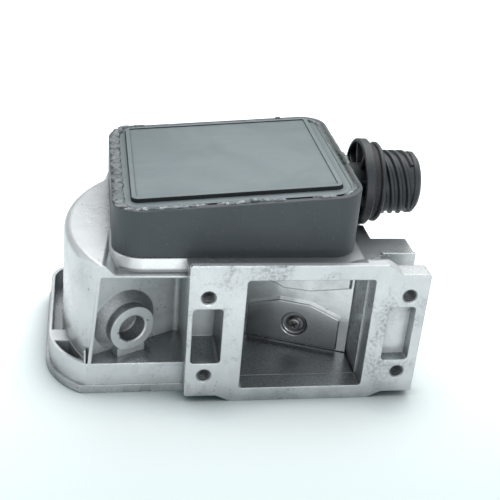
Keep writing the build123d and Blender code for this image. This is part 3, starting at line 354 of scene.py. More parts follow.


# painted shadow line at the foot of the plinth, over the boss
seamMark = {
    "height": 0.0248,
    "halfWidth": (0.0003, 0.0010),
    "left": (-0.0800, -0.0770),
    "right": -0.0495,
    "front": (0.0090, 0.0100),
    "rear": (0.0140, 0.0160),
    "seam": 0.90,
}


def seamShade(tree, place):
    facts = seamMark
    off = absolute(tree, minus(tree, place["Z"], facts["height"]))
    return times(
        tree,
        between(tree, off, *facts["halfWidth"], facts["seam"], 0.0),
        maths(tree, "LESS_THAN", place["X"], facts["right"]),
        between(tree, place["X"], *facts["left"]),
        between(tree, place["Y"], *facts["front"]),
        between(tree, place["Y"], *facts["rear"], 1.0, 0.0),
    )


def filmShade(tree, facts, place, facing):
    return times(
        tree,
        maths(tree, "LESS_THAN", absolute(tree, place["X"]), facts["passageHalf"]),
        maths(tree, "GREATER_THAN", place["Y"], facts["passageFront"]),
        between(tree, place["Z"], *facts["passageFloor"], 1.0, 0.0),
        between(tree, facing, *facts["frontFacing"], 0.0, facts["film"]),
    )


def castAluminium(name, facts):
    material, tree, shader = newMaterial(name)
    pattern = {key: noise(tree, *values) for key, values in castPatterns.items()}
    place = split(tree, objectPoint(tree))
    normals = split(tree, addNode(tree, "ShaderNodeNewGeometry").outputs["Normal"])
    facing = normals["Y"]
    recess = openTo(tree, facts["recessReach"])
    colour = mixed(tree, between(tree, pattern["broad"], *facts["dulled"]), facts["pale"], facts["dull"])
    colour = mixed(tree, between(tree, pattern["blotch"], *facts["blotch"]), colour, facts["dull"])
    # painted shade in recesses, on side faces and, together with settled grit, on up-facing faces; tight
    # corners get painted shade and grit in patches
    walls = times(tree, between(tree, recess, *facts["recessOpen"], facts["recess"], 0.0),
                  between(tree, facing, *facts["frontFacing"]))
    floors = times(tree, between(tree, normals["Z"], *facts["topFacing"]),
                   between(tree, recess, *facts["floorOpen"], facts["floors"], 0.0))
    colour = mixed(tree, largest(tree, walls, floors), colour, facts["shade"])
    # painted shade with some settled grit in tight corners, broken into patches
    corner = openTo(tree, facts["cornerReach"], only_local=True)
    dirt = times(tree, between(tree, corner, *facts["cornerOpen"], 1.0, 0.0),
                 between(tree, pattern["cornerDirt"], *facts["cornerDirt"]))
    colour = mixed(tree, dirt, colour, facts["grime"])
    colour = mixed(tree, filmShade(tree, facts, place, facing), colour, facts["grime"])
    marks = largest(tree, holeShade(tree, place), bossShade(tree, place))
    colour = mixed(tree, marks, colour, facts["grime"])
    # painted shade along the foot, stains in patches, and a fine mottle all over
    low = times(tree, between(tree, place["Z"], *facts["footHeight"], facts["foot"], 0.0),
                between(tree, pattern["footDirt"], *facts["footDirt"]))
    colour = mixed(tree, low, colour, facts["grime"])
    stains = times(
        tree,
        between(tree, pattern["stainPatch"], *facts["stainPatch"]),
        between(tree, pattern["stainSpeck"], *facts["stainSpeck"]),
        between(tree, place["Y"], *facts["flangeFace"]),
    )
    colour = mixed(tree, stains, colour, facts["grime"])
    colour = mixed(tree, between(tree, pattern["mottle"], *facts["mottle"]), colour, facts["dull"])
    colour = mixed(tree, seamShade(tree, place), colour, facts["grime"])
    pits = times(tree, between(tree, pattern["pit"], *facts["pits"]),
                 between(tree, pattern["pitPatch"], *facts["pitPatch"]))
    colour = mixed(tree, times(tree, pits, facts["pitted"]), colour, facts["pit"])
    tree.links.new(colour, shader.inputs["Base Color"])
    sheltered = times(tree, between(tree, recess, *facts["shelterOpen"], 1.0, 0.0),
                      between(tree, facing, *facts["shelterFacing"], 1.0, 0.0))
    metallic = between(tree, sheltered, 0.0, 1.0, facts["metallic"], facts["metallicInside"])
    tree.links.new(metallic, shader.inputs["Metallic"])
    tree.links.new(between(tree, pattern["broad"], *facts["rough"]), shader.inputs["Roughness"])
    normal = soft(tree, facts["edge"])
    normal = bumped(tree, pattern["wave"], *facts["waves"], normal)
    normal = bumped(tree, pattern["fine"], *facts["grain"], normal)
    normal = bumped(tree, minus(tree, 1.0, pits), *facts["pitDepth"], normal)
    tree.links.new(normal, shader.inputs["Normal"])
    return material


# plastics, rubber and ceramic
plasticFacts = {
    # slot: (base, worn, low roughness, high roughness, grain scale, grain height)
    "frame_plastic": ((0.051, 0.064, 0.073, 1.0), (0.070, 0.085, 0.095, 1.0), 0.42, 0.58, 900.0, 0.00003),
    # on the lid, the worn colour also serves as painted light, lighter along its front
    "lid_plastic": ((0.122, 0.160, 0.172, 1.0), (0.200, 0.252, 0.262, 1.0), 0.36, 0.52, 700.0, 0.00002),
    "connector_plastic": (
        (0.011, 0.0145, 0.0175, 1.0), (0.030, 0.040, 0.043, 1.0), 0.38, 0.55, 900.0, 0.00002,
    ),
    "seal_rubber": ((0.010, 0.010, 0.011, 1.0), (0.022, 0.022, 0.024, 1.0), 0.55, 0.7, 700.0, 0.00003),
    "wheel_plastic": ((0.62, 0.60, 0.52, 1.0), (0.50, 0.48, 0.41, 1.0), 0.4, 0.55, 600.0, 0.00002),
    "board_ceramic": ((0.75, 0.75, 0.72, 1.0), (0.60, 0.60, 0.58, 1.0), 0.5, 0.6, 900.0, 0.00001),
    "sensor_plastic": ((0.05, 0.05, 0.052, 1.0), (0.09, 0.09, 0.09, 1.0), 0.4, 0.55, 800.0, 0.00002),
}

plasticWear = {
    "broad": (22.0, 4.0, 0.55),
    "worn": (0.3, 0.7),
    "smear": (1.0, 5.0, 0.6),
    "smearScales": (30.0, 90.0, 14.0),
    "smeared": (0.5, 0.75, 0.0, 0.25),
    "rough": (0.35, 0.7),
    "dust": (1400.0, 2.0, 0.5),
    "dusty": (0.70, 0.74, 0.0, 0.25),
    "dustColour": (0.45, 0.47, 0.48, 1.0),
    # painted shade in tight corners
    "cornerReach": 0.003,
    "cornerOpen": (0.45, 0.9, 0.85, 0.0),
    "cornerColour": (0.004, 0.006, 0.008, 1.0),
    "wave": (40.0, 3.0, 0.5),
    "waves": (0.15, 0.0004),
    "grainDetail": (2.0, 0.5),
    "grainStrength": 0.4,
    "edge": 0.0005,
}

lidWear = {
    # painted light: lighter along its front, darker in its left corner
    "front": (0.015, 0.105, 0.55, 0.0),
    "left": (-0.080, -0.050, -0.30, 0.0),
    "cloud": (24.0, 3.0, 0.5, 0.6),
    "clouded": (0.42, 0.58, 0.05, 0.45),
    # painted shade on the steep edges of its raised field
    "steep": (0.55, 0.93, 1.0, 0.0),
    "edgeColour": (0.003, 0.005, 0.007, 1.0),
    "edgeDirt": 0.97,
    "edgeRough": 0.85,
}


def lidHandled(tree):
    place = split(tree, objectPoint(tree))
    front = between(tree, place["Y"], *lidWear["front"])
    left = between(tree, place["X"], *lidWear["left"])
    cloud = between(tree, noise(tree, *lidWear["cloud"]), *lidWear["clouded"])
    handled = plus(tree, cloud, plus(tree, front, left))
    return maths(tree, "MINIMUM", largest(tree, handled, 0.0), 1.0)


def plastic(name, base, worn, roughLow, roughHigh, grainScale, grain):
    wear = plasticWear
    material, tree, shader = newMaterial(name)
    onLid = name == "lid_plastic"
    smear = noise(tree, *wear["smear"], point=stretched(tree, wear["smearScales"]))
    rough = between(tree, smear, *wear["rough"], roughLow, roughHigh)
    # on the lid this mask is painted light along its front; on the other plastics it is worn spots
    worked = lidHandled(tree) if onLid else between(tree, noise(tree, *wear["broad"]), *wear["worn"])
    colour = mixed(tree, worked, base, worn)
    colour = mixed(tree, between(tree, smear, *wear["smeared"]), colour, worn)
    dust = between(tree, noise(tree, *wear["dust"]), *wear["dusty"])
    colour = mixed(tree, dust, colour, wear["dustColour"])
    corner = openTo(tree, wear["cornerReach"], only_local=True)
    colour = mixed(tree, between(tree, corner, *wear["cornerOpen"]), colour, wear["cornerColour"])
    if onLid:
        upright = split(tree, addNode(tree, "ShaderNodeNewGeometry").outputs["True Normal"])["Z"]
        steep = between(tree, upright, *lidWear["steep"])
        colour = mixed(tree, times(tree, steep, lidWear["edgeDirt"]), colour, lidWear["edgeColour"])
        rough = largest(tree, rough, times(tree, steep, lidWear["edgeRough"]))
    tree.links.new(colour, shader.inputs["Base Color"])
    tree.links.new(rough, shader.inputs["Roughness"])
    normal = soft(tree, wear["edge"])
    normal = bumped(tree, noise(tree, *wear["wave"]), *wear["waves"], normal)
    grains = noise(tree, grainScale, *wear["grainDetail"])
    normal = bumped(tree, grains, wear["grainStrength"], grain, normal)
    tree.links.new(normal, shader.inputs["Normal"])
    return material


# steel, bronze and contacts
metalFacts = {
    # finish: (base, tarnish, low roughness, high roughness)
    "steel": ((0.40, 0.40, 0.39, 1.0), (0.11, 0.11, 0.105, 1.0), 0.28, 0.48),
    "wornSteel": ((0.27, 0.265, 0.26, 1.0), (0.035, 0.033, 0.030, 1.0), 0.28, 0.45),
    "spring_steel": ((0.55, 0.55, 0.54, 1.0), (0.32, 0.31, 0.30, 1.0), 0.25, 0.42),
    "contact_metal": ((0.78, 0.72, 0.58, 1.0), (0.55, 0.50, 0.38, 1.0), 0.2, 0.35),
    "bush_bronze": ((0.62, 0.45, 0.25, 1.0), (0.40, 0.27, 0.13, 1.0), 0.35, 0.5),
    "weight_metal": ((0.58, 0.57, 0.55, 1.0), (0.38, 0.37, 0.35, 1.0), 0.4, 0.55),
}

metalWear = {
    "broad": (160.0, 5.0, 0.6),
    "tarnished": (0.4, 0.72),
    "scratch": (1.0, 3.0, 0.6),
    "scratchScales": (260.0, 2600.0, 600.0),
    "scratchTurn": (0.2, 0.3, 0.4),
    "scratched": (0.3, 0.7),
    "scratches": (0.3, 0.00002),
    # painted shade in crevices
    "creviceReach": 0.0012,
    "creviceOpen": (0.45, 0.9, 0.95, 0.0),
    "creviceColour": (0.012, 0.012, 0.012, 1.0),
    "edge": 0.00015,
}


def metal(name, base, tarnish, roughLow, roughHigh):
    wear = metalWear
    material, tree, shader = newMaterial(name)
    scratch = noise(tree, *wear["scratch"], point=stretched(tree, wear["scratchScales"], wear["scratchTurn"]))
    colour = mixed(tree, between(tree, noise(tree, *wear["broad"]), *wear["tarnished"]), base, tarnish)
    crevice = openTo(tree, wear["creviceReach"])
    colour = mixed(tree, between(tree, crevice, *wear["creviceOpen"]), colour, wear["creviceColour"])
    tree.links.new(colour, shader.inputs["Base Color"])
    shader.inputs["Metallic"].default_value = 1.0
    rough = between(tree, scratch, *wear["scratched"], roughLow, roughHigh)
    tree.links.new(rough, shader.inputs["Roughness"])
    normal = bumped(tree, scratch, *wear["scratches"], soft(tree, wear["edge"]))
    tree.links.new(normal, shader.inputs["Normal"])
    return material


# bright sheet and casting of the flap, its relief plate and the threads
vaneFacts = {
    "bright": (0.93, 0.95, 0.955, 1.0),
    "stain": (0.50, 0.52, 0.53, 1.0),
    "speck": (0.16, 0.16, 0.16, 1.0),
    "shade": (0.10, 0.11, 0.115, 1.0),
    "shadeLow": 0.05,
    "shadeHeight": (-0.024, 0.004),
    # from which to which value a pattern shows, and how strongly
    "stained": (0.45, 0.75),
    "streaked": (0.55, 0.75, 0.0, 0.4),
    "specks": (0.70, 0.73),
    "speckPatch": (0.45, 0.6),
    "specked": 0.8,
    "rough": (0.3, 0.7),
    "roughLow": 0.09,
    "roughHigh": 0.20,
    "metallic": 0.95,
    # unevenness: (strength, height), and the width of the rounded edges
    "waves": (0.3, 0.0005),
    "grain": (0.35, 0.00003),
    "edge": 0.0006,
}

vanePatterns = {
    # pattern: (scale, detail, roughness, distortion)
    "broad": (34.0, 5.0, 0.6, 0.8),
    "speck": (700.0, 2.0, 0.5, 0.0),
    "speckPatch": (70.0, 3.0, 0.6, 0.0),
    "wave": (45.0, 3.0, 0.5, 0.0),
    "grain": (800.0, 2.0, 0.5, 0.0),
}

vaneStreak = {
    "pattern": (1.0, 4.0, 0.6),
    "scales": (60.0, 60.0, 240.0),
}

reliefFacts = dict(vaneFacts, bright=(0.74, 0.76, 0.77, 1.0), shadeLow=0.75, roughLow=0.18, roughHigh=0.32)
threadFacts = dict(
    vaneFacts, bright=(0.42, 0.44, 0.45, 1.0), stain=(0.16, 0.17, 0.175, 1.0), roughLow=0.25, roughHigh=0.4,
)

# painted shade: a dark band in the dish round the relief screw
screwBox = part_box("relief_screw")
screwMiddle = [(low + high) / 2 for low, high in zip(*screwBox)]
dishMark = {
    "inner": (0.0028, 0.0034),
    "outer": (0.0038, 0.0046),
    "dirt": 0.85,
    "colour": (0.03, 0.03, 0.03, 1.0),
}


def dishShade(tree, place):
    across = minus(tree, place["X"], screwMiddle[0])
    above = minus(tree, place["Z"], screwMiddle[2])
    radius = radiusOf(tree, across, above)
    return times(tree, between(tree, radius, *dishMark["inner"]),
                 between(tree, radius, *dishMark["outer"], dishMark["dirt"], 0.0))


def vaneAluminium(name, facts, dished=False):
    material, tree, shader = newMaterial(name)
    pattern = {key: noise(tree, *values) for key, values in vanePatterns.items()}
    streak = noise(tree, *vaneStreak["pattern"], point=stretched(tree, vaneStreak["scales"]))
    place = split(tree, objectPoint(tree))
    colour = mixed(tree, between(tree, pattern["broad"], *facts["stained"]), facts["bright"], facts["stain"])
    colour = mixed(tree, between(tree, streak, *facts["streaked"]), colour, facts["stain"])
    specks = times(tree, between(tree, pattern["speck"], *facts["specks"]),
                   between(tree, pattern["speckPatch"], *facts["speckPatch"]))
    colour = mixed(tree, times(tree, specks, facts["specked"]), colour, facts["speck"])
    low = between(tree, place["Z"], *facts["shadeHeight"], facts["shadeLow"], 0.0)
    colour = mixed(tree, low, colour, facts["shade"])
    if dished:
        colour = mixed(tree, dishShade(tree, place), colour, dishMark["colour"])
    tree.links.new(colour, shader.inputs["Base Color"])
    shader.inputs["Metallic"].default_value = facts["metallic"]
    rough = between(tree, pattern["broad"], *facts["rough"], facts["roughLow"], facts["roughHigh"])
    tree.links.new(rough, shader.inputs["Roughness"])
    normal = soft(tree, facts["edge"])
    normal = bumped(tree, pattern["wave"], *facts["waves"], normal)
    normal = bumped(tree, pattern["grain"], *facts["grain"], normal)
    tree.links.new(normal, shader.inputs["Normal"])
    return material


# silicone round the lid
sealantFacts = {
    "smeared": (0.190, 0.218, 0.226, 1.0),    # left and back
    "shaded": (0.095, 0.112, 0.120, 1.0),
    "clear": (0.150, 0.188, 0.184, 1.0),    # right
    "cleared": 0.8,
    "rightFrom": (0.008, 0.014),
    "frontTo": (0.0175, 0.0215),
    "pale": (0.52, 0.56, 0.58, 1.0),
    "hole": (0.012, 0.015, 0.018, 1.0),
    "holes": (0.95, 0.25),    # left, right
    "seamAt": 0.0203,    # gap beside the lid
    "seamHalf": (0.00051, 0.001105, 0.95, 0.0),
    "lumps": (240.0, 4.0, 0.6, 0.5),
    "mixed": (0.38, 0.62),
    "whitish": (0.48, 0.60),
    "rough": (0.3, 0.7, 0.55, 0.30),
    "broad": (70.0, 3.0, 0.6),
    "whitishPatch": (0.40, 0.55),
    "holePattern": (520.0, 2.0, 0.5),
    "holed": (0.59, 0.65),
    "lumpHeight": 0.0004,
    "lumpy": (0.5, 0.15),    # left, right
}


def sealantFinish(name, facts):
    material, tree, shader = newMaterial(name)
    place = split(tree, objectPoint(tree))
    lumps = noise(tree, *facts["lumps"])
    atRight = between(tree, place["X"], *facts["rightFrom"])
    atFront = between(tree, place["Y"], *facts["frontTo"], 1.0, 0.0)
    colour = mixed(tree, between(tree, lumps, *facts["mixed"]), facts["shaded"], facts["smeared"])
    colour = mixed(tree, times(tree, atRight, facts["cleared"]), colour, facts["clear"])
    # pale gobs along the front: lighter sealant with a painted highlight on their tops
    whitish = times(tree, between(tree, lumps, *facts["whitish"]), atFront,
                    between(tree, noise(tree, *facts["broad"]), *facts["whitishPatch"]))
    colour = mixed(tree, whitish, colour, facts["pale"])
    # painted shade in small holes and in the gap beside the lid
    holes = times(tree, between(tree, noise(tree, *facts["holePattern"]), *facts["holed"]),
                  between(tree, atRight, 0.0, 1.0, *facts["holes"]))
    seam = absolute(tree, minus(tree, place["X"], facts["seamAt"]))
    seam = between(tree, seam, *facts["seamHalf"])
    colour = mixed(tree, largest(tree, holes, seam), colour, facts["hole"])
    tree.links.new(colour, shader.inputs["Base Color"])
    tree.links.new(between(tree, lumps, *facts["rough"]), shader.inputs["Roughness"])
    normal = bumped(tree, lumps, between(tree, atRight, 0.0, 1.0, *facts["lumpy"]), facts["lumpHeight"])
    tree.links.new(normal, shader.inputs["Normal"])
    return material


# helpers for the pieces
def takeUp(piece):
    bpy.ops.object.select_all(action="DESELECT")
    piece.select_set(True)
    bpy.context.view_layer.objects.active = piece


def mergeClose(piece, gap):
    takeUp(piece)
    bpy.ops.object.mode_set(mode="EDIT")
    bpy.ops.mesh.select_all(action="SELECT")
    bpy.ops.mesh.remove_doubles(threshold=gap)
    bpy.ops.object.mode_set(mode="OBJECT")


def copyOf(nodeName, pieceName, gap):
    piece = bpy.data.objects.new(pieceName, nodes[nodeName].data.copy())
    bpy.context.collection.objects.link(piece)
    mergeClose(piece, gap)
    return piece


def applyAll(piece):
    takeUp(piece)
    for modifier in list(piece.modifiers):
        bpy.ops.object.modifier_apply(modifier=modifier.name)


def coat(mesh, material):
    mesh.materials.clear()
    mesh.materials.append(material)


finishes = {
    "cast_aluminium": castAluminium("castAluminium", castFacts),
    "plate_aluminium": castAluminium("plateAluminium", dict(castFacts, dull=(0.52, 0.55, 0.56, 1.0))),
    "vane_aluminium": vaneAluminium("vaneAluminium", vaneFacts),
    "relief_aluminium": vaneAluminium("reliefAluminium", reliefFacts, dished=True),
    "thread": vaneAluminium("threadAluminium", threadFacts),
    "silicone": sealantFinish("silicone", sealantFacts),
}
for slotName, values in plasticFacts.items():
    finishes[slotName] = plastic(slotName, *values)
for slotName, values in metalFacts.items():
    finishes[slotName] = metal(slotName, *values)

for entry in frame["record"]["subparts"]:
    coat(nodes[entry["node"]].data, finishes[entry["material_slot"]])
coat(nodes["relief_screw"].data, finishes["wornSteel"])
print("finishes made:", len(finishes))


# sealant bead round the lid
sealantBead = {
    "corner": (-0.0792, 0.0140, 0.0488),    # left front of the cover's rim
    "slope": 4.65,
    "voxel": 0.00040,
    "lumpSteps": 3,
    # lumps: (from the left, from the front, turn, length, width, height, lift), in mm and degrees
    "lumps": [
        (2.6, 13, 88, 9.0, 5.4, 1.0, 0.1), (2.4, 19, 92, 8.5, 5.0, 1.1, 0.1),
        (2.7, 26, 86, 8.5, 5.2, 1.0, 0.1), (2.4, 33, 93, 9.0, 5.2, 1.1, 0.1),
        (2.7, 40, 88, 8.5, 5.0, 1.1, 0.1), (2.4, 47, 90, 8.5, 5.3, 1.0, 0.1),
        (2.6, 54, 92, 8.5, 5.0, 1.1, 0.1), (2.4, 61, 89, 8.5, 5.2, 1.1, 0.1),
        (2.6, 68, 92, 8.5, 5.0, 1.0, 0.1), (2.4, 75, 88, 8.5, 5.2, 1.2, 0.1),
        (3.0, 81, 80, 7.5, 4.4, 1.3, 0.2), (4.4, 86, 52, 6.5, 3.4, 1.5, 0.3),
        (3.3, 86.8, 46, 3.4, 1.8, 1.6, 0.4), (7.4, 90.2, 14, 6.5, 2.4, 1.3, 0.4),
        (13.5, 91.2, 3, 7.5, 2.0, 0.9, 0.2), (3.4, 7.2, -56, 7.0, 4.6, 1.0, 0.0),
        (7.0, 3.6, -30, 7.0, 3.6, 1.0, 0.0), (11.5, 2.2, -6, 8.0, 3.0, 1.0, 0.1),
        (17.5, 1.9, -1, 9.0, 2.8, 1.1, 0.2), (25, 1.8, 0, 9.0, 2.6, 1.1, 0.2),
        (31.5, 2.0, 2, 6.0, 2.4, 0.9, 0.1), (46, 2.0, 0, 9.0, 2.4, 0.8, 0.1),
        (52, 2.2, 4, 6.0, 2.6, 1.0, 0.1), (55.8, 3.0, -8, 4.6, 3.0, 1.6, 0.3),
        (60, 2.6, 0, 6.0, 2.6, 1.1, 0.1), (65.5, 2.0, 2, 5.0, 2.2, 0.8, 0.1),
        (84, 2.4, -3, 4.5, 2.8, 1.2, 0.2), (87.6, 2.6, 6, 3.4, 2.4, 1.1, 0.1),
        (96.6, 6.2, 45, 6.0, 1.8, 0.9, 0.2), (99.6, 12, 80, 9.0, 2.4, 0.8, 0.1),
        (100.0, 19, 90, 12.0, 2.6, 0.9, 0.1), (100.2, 27, 91, 12.0, 2.8, 1.1, 0.1),
        (100.4, 34.5, 94, 6.0, 3.4, 1.9, 0.5), (100.6, 38.5, 86, 5.2, 3.8, 2.3, 0.7),
        (100.3, 43.0, 97, 5.6, 3.4, 1.8, 0.5), (100.0, 52, 90, 16.0, 3.2, 1.3, 0.3),
        (99.9, 62, 90, 16.0, 3.4, 1.2, 0.2), (99.8, 72, 91, 14.0, 3.2, 1.0, 0.2),
        (98.8, 80, 104, 9.0, 2.8, 0.9, 0.1), (95.0, 87.0, 140, 7.0, 2.0, 0.8, 0.1),
        (80.5, 90.8, 4, 3.0, 1.8, 1.3, 0.5), (67, 90.8, 0, 6.0, 1.6, 0.7, 0.1),
        (50, 90.8, 0, 8.0, 1.4, 0.6, 0.0), (30, 91.0, 0, 8.0, 1.5, 0.6, 0.0),
    ],
    # shares of the roughness, which is whole in front
    "leftShare": 0.55,
    "rightShare": 0.22,
    "rightFrom": 0.012,
    "frontTo": 0.0205,
    # holes left in the bead: (from the left, from the front, half length, depth)
    "holes": [
        (37.0, 3.0, 1.8, 1.3), (39.4, 3.5, 2.4, 1.8), (42.2, 2.9, 1.9, 1.4), (67.6, 3.3, 1.5, 1.1),
        (69.9, 3.0, 2.3, 1.8), (72.4, 3.5, 2.6, 2.1), (75.2, 3.0, 2.4, 1.9), (78.0, 3.4, 2.4, 1.8),
        (80.4, 3.0, 1.5, 1.1), (90.2, 3.3, 1.6, 1.2), (91.8, 3.8, 2.0, 1.6), (73.5, 89.2, 2.6, 1.9),
        (77.5, 89.2, 2.4, 1.9), (3.4, 28.6, 1.2, 1.2), (2.4, 25.4, 0.8, 0.9), (1.6, 40.0, 0.8, 1.0),
        (2.2, 52.5, 1.0, 1.1), (1.4, 66.0, 0.8, 0.9),
    ],
    # unevenness: (scale, strength)
    "lumpy": (0.0022, 0.0007),
    "rough": (0.0007, 0.00028),
    "noiseDepth": 3,
    "middle": 0.5,
    "merge": 0.000005,
    "ease": 0.35,
}


def onRim(along, across, lift=0.0):
    slope = math.radians(sealantBead["slope"])
    left, front, height = sealantBead["corner"]
    return Vector((
        left + along * mm - lift * mm * math.sin(slope),
        front + across * mm,
        height + along * mm * math.tan(slope) + lift * mm * math.cos(slope),
    ))


def roughen(piece, name, scale, strength):
    grit = bpy.data.textures.new(name, "CLOUDS")
    grit.noise_scale = scale
    grit.noise_depth = sealantBead["noiseDepth"]
    wobble = piece.modifiers.new(name, "DISPLACE")
    wobble.texture = grit
    wobble.vertex_group = "roughened"
    wobble.texture_coords = "LOCAL"
    wobble.strength = strength
    wobble.mid_level = sealantBead["middle"]


def makeLump(along, across, turn, length, width, height, lift):
    around = math.radians(turn)
    tilt = math.radians(sealantBead["slope"] * math.cos(around))
    bpy.ops.object.select_all(action="DESELECT")
    bpy.ops.mesh.primitive_ico_sphere_add(
        subdivisions=sealantBead["lumpSteps"], radius=mm, location=onRim(along, across, lift),
        rotation=(0.0, -tilt, around), scale=(length / 2, width / 2, height / 2),
    )
    return bpy.context.object


def pushHoles(bead):
    slope = math.radians(sealantBead["slope"])
    down = Vector((math.sin(slope), 0.0, -math.cos(slope)))
    for along, across, half, depth in sealantBead["holes"]:
        centre = onRim(along, across)
        for point in bead.data.vertices:
            away = (point.co - centre).length / (half * mm)
            if away < 1.0:
                point.co += down * depth * mm * (1.0 - away * away)


def shareRoughness(bead):
    shares = bead.vertex_groups.new(name="roughened")
    points = bead.data.vertices
    shares.add([point.index for point in points], sealantBead["leftShare"], "REPLACE")
    onRight = [point.index for point in points if point.co.x > sealantBead["rightFrom"]]
    shares.add(onRight, sealantBead["rightShare"], "REPLACE")
    inFront = [point.index for point in points if point.co.y < sealantBead["frontTo"]]
    shares.add(inFront, 1.0, "REPLACE")


def makeSealant():
    bead = copyOf("lid_sealant", "sealantBead", sealantBead["merge"])
    lumps = [makeLump(*lump) for lump in sealantBead["lumps"]]
    bpy.ops.object.select_all(action="DESELECT")
    for lump in lumps:
        lump.select_set(True)
    bead.select_set(True)
    bpy.context.view_layer.objects.active = bead
    bpy.ops.object.join()
    fuse = bead.modifiers.new("fuse", "REMESH")
    fuse.mode = "VOXEL"
    fuse.voxel_size = sealantBead["voxel"]
    applyAll(bead)
    pushHoles(bead)
    shareRoughness(bead)
    roughen(bead, "lumpy", *sealantBead["lumpy"])
    roughen(bead, "rough", *sealantBead["rough"])
    ease = bead.modifiers.new("ease", "SMOOTH")
    ease.factor = sealantBead["ease"]
    ease.iterations = 1
    applyAll(bead)
    bpy.ops.object.shade_smooth()
    coat(bead.data, finishes["silicone"])
    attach(bead, "housing")
    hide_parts("lid_sealant")
    print("sealant bead made:", len(bead.data.polygons), "faces")


makeSealant()


# relief spring, copied and smoothed, riding on the relief plate; it keeps its length as the plate lifts
reliefSpring = {
    "way": (-0.366501, -0.930418, 0.0),    # towards the front, as the plate lifts
    "keep": 0.444,    # 1.2 of 2.7 mm left when the valve is open
    "merge": 0.000002,
    "smoothAngle": 40,
}


def makeReliefSpring():
    spring = copyOf("relief_spring", "reliefSpring", reliefSpring["merge"])
    bpy.ops.object.shade_smooth_by_angle(angle=math.radians(reliefSpring["smoothAngle"]))
    coat(spring.data, finishes["spring_steel"])
    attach(spring, "relief")
    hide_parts("relief_spring")
    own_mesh(spring)
    print("relief spring made:", len(spring.data.polygons), "faces")


makeReliefSpring()


# threads of the bolt holes
boltThreads = {
    "across": 0.0415,
    "above": 0.0187,
    "radius": 0.00268,
    "corners": 3,
    "ridge": 0.00034,
    "pitch": 0.0010,
    "turns": 9,
    "steps": 24,
    "start": 0.0012,
    "merge": 0.000002,
}


def windThread():
    facts = boltThreads
    bpy.ops.object.select_all(action="DESELECT")
    bpy.ops.mesh.primitive_circle_add(
        vertices=facts["corners"], radius=facts["ridge"], rotation=(0, math.radians(-90), 0),
    )
    thread = bpy.context.object
    bpy.ops.object.transform_apply(location=False, rotation=True, scale=False)
    bpy.ops.object.mode_set(mode="EDIT")
    bpy.ops.mesh.select_all(action="SELECT")
    bpy.ops.transform.translate(value=(0, facts["start"], facts["radius"]))
    bpy.ops.object.mode_set(mode="OBJECT")
    wind = thread.modifiers.new("wind", "SCREW")
    wind.axis = "Y"
    wind.screw_offset = facts["pitch"]
    wind.iterations = facts["turns"]
    wind.steps = facts["steps"]
    wind.render_steps = facts["steps"]
    applyAll(thread)
    mergeClose(thread, facts["merge"])
    bpy.ops.object.mode_set(mode="EDIT")
    bpy.ops.mesh.select_all(action="SELECT")
    bpy.ops.mesh.fill_holes(sides=facts["corners"])
    bpy.ops.mesh.normals_make_consistent(inside=False)
    bpy.ops.object.mode_set(mode="OBJECT")
    coat(thread.data, finishes["thread"])
    return thread


def makeBoltThreads():
    thread = windThread()
    corners = [(across, above) for across in (-1, 1) for above in (-1, 1)]
    for count, (across, above) in enumerate(corners):
        copy = bpy.data.objects.new("boltThread%d" % count, thread.data.copy())
        bpy.context.collection.objects.link(copy)
        place = (across * boltThreads["across"], 0, above * boltThreads["above"])
        copy.data.transform(Matrix.Translation(place))
        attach(copy, "housing")
    bpy.data.objects.remove(thread)
    print("bolt threads made:", len(corners))


makeBoltThreads()


# floor and room
floorFacts = {
    "height": -0.032,
    "size": 6.0,
    "colour": (0.80, 0.84, 0.85, 1.0),
    # what the camera sees: colour and own light, near the front and further back
    "frontColour": (0.57, 0.67, 0.68, 1.0),
    "seenColour": (0.93, 0.99, 1.0, 1.0),
    "frontLift": 0.30,
    "lift": 0.34,
    "liftFrom": (-0.06, 0.10),
    # shadow where the object stands
    "contact": 0.023,
    "contactOpen": (0.25, 0.95),
    "contactColour": (0.16, 0.235, 0.255, 1.0),
    # what mirrored metal sees: a floor that is dim near the object
    "mirrorLift": 0.20,
    "mirrorReach": 0.10,
    "mirrorOpen": (0.5, 1.0),
    "samples": 8,
    "glow": (0.97, 1.0, 1.0, 1.0),
    "roughness": 0.9,
    "specular": 0.1,
}


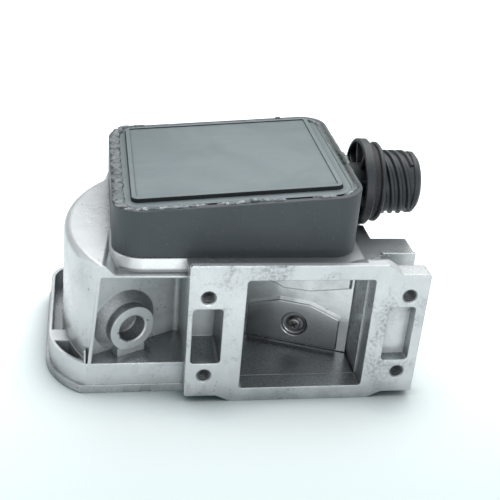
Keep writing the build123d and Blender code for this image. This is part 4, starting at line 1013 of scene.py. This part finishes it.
def setUpFloor():
    bpy.ops.mesh.primitive_plane_add(size=floorFacts["size"], location=(0, 0, 0))
    floor = bpy.context.object
    floor.name = "floor"
    floor.data.transform(Matrix.Translation((0, 0, floorFacts["height"])))
    material, tree, shader = newMaterial("palePaper")
    path = addNode(tree, "ShaderNodeLightPath").outputs
    back = between(tree, split(tree, objectPoint(tree))["Y"], *floorFacts["liftFrom"])
    seen = mixed(tree, back, floorFacts["frontColour"], floorFacts["seenColour"])
    colour = mixed(tree, path["Is Camera Ray"], floorFacts["colour"], seen)
    near = openTo(tree, floorFacts["contact"], samples=floorFacts["samples"])
    openness = between(tree, near, *floorFacts["contactOpen"])
    tree.links.new(mixed(tree, openness, floorFacts["contactColour"], colour), shader.inputs["Base Color"])
    shader.inputs["Roughness"].default_value = floorFacts["roughness"]
    shader.inputs["Specular IOR Level"].default_value = floorFacts["specular"]
    wide = openTo(tree, floorFacts["mirrorReach"], samples=floorFacts["samples"])
    clear = between(tree, wide, *floorFacts["mirrorOpen"])
    lift = between(tree, back, 0.0, 1.0, floorFacts["frontLift"], floorFacts["lift"])
    seenGlow = times(tree, path["Is Camera Ray"], openness, lift)
    mirrorGlow = times(tree, path["Is Glossy Ray"], clear, floorFacts["mirrorLift"])
    glow = addNode(tree, "ShaderNodeEmission", {
        "Color": floorFacts["glow"],
        "Strength": plus(tree, seenGlow, mirrorGlow),
    }).outputs["Emission"]
    both = addNode(tree, "ShaderNodeAddShader")
    tree.links.new(shader.outputs["BSDF"], both.inputs[0])
    tree.links.new(glow, both.inputs[1])
    tree.links.new(both.outputs["Shader"], tree.nodes["Material Output"].inputs["Surface"])
    floor.data.materials.append(material)


# mirrored metal sees a room that is darker on the left and brighter in front
roomFacts = {
    "light": 0.16,
    "leftToRight": (-0.8, 0.8, 0.48, 0.82),
    "frontWall": (0.0, -0.9, 0.0, 0.08),
}


def setUpRoom():
    world = bpy.data.worlds.new("studio")
    bpy.context.scene.world = world
    world.use_nodes = True
    tree = world.node_tree
    path = addNode(tree, "ShaderNodeLightPath").outputs
    towards = split(tree, addNode(tree, "ShaderNodeTexCoord").outputs["Generated"])
    room = plus(tree, between(tree, towards["X"], *roomFacts["leftToRight"]),
                between(tree, towards["Y"], *roomFacts["frontWall"]))
    mirrored = times(tree, path["Is Glossy Ray"], minus(tree, room, roomFacts["light"]))
    strength = largest(tree, plus(tree, mirrored, roomFacts["light"]), path["Is Camera Ray"])
    background = tree.nodes["Background"]
    tree.links.new(strength, background.inputs["Strength"])
    background.inputs["Color"].default_value = (1.0, 1.0, 1.0, 1.0)


setUpCamera()
setUpLamps()
setUpFloor()
setUpRoom()
bpy.context.scene.view_settings.view_transform = "Standard"
print("camera, lamps and floor set")
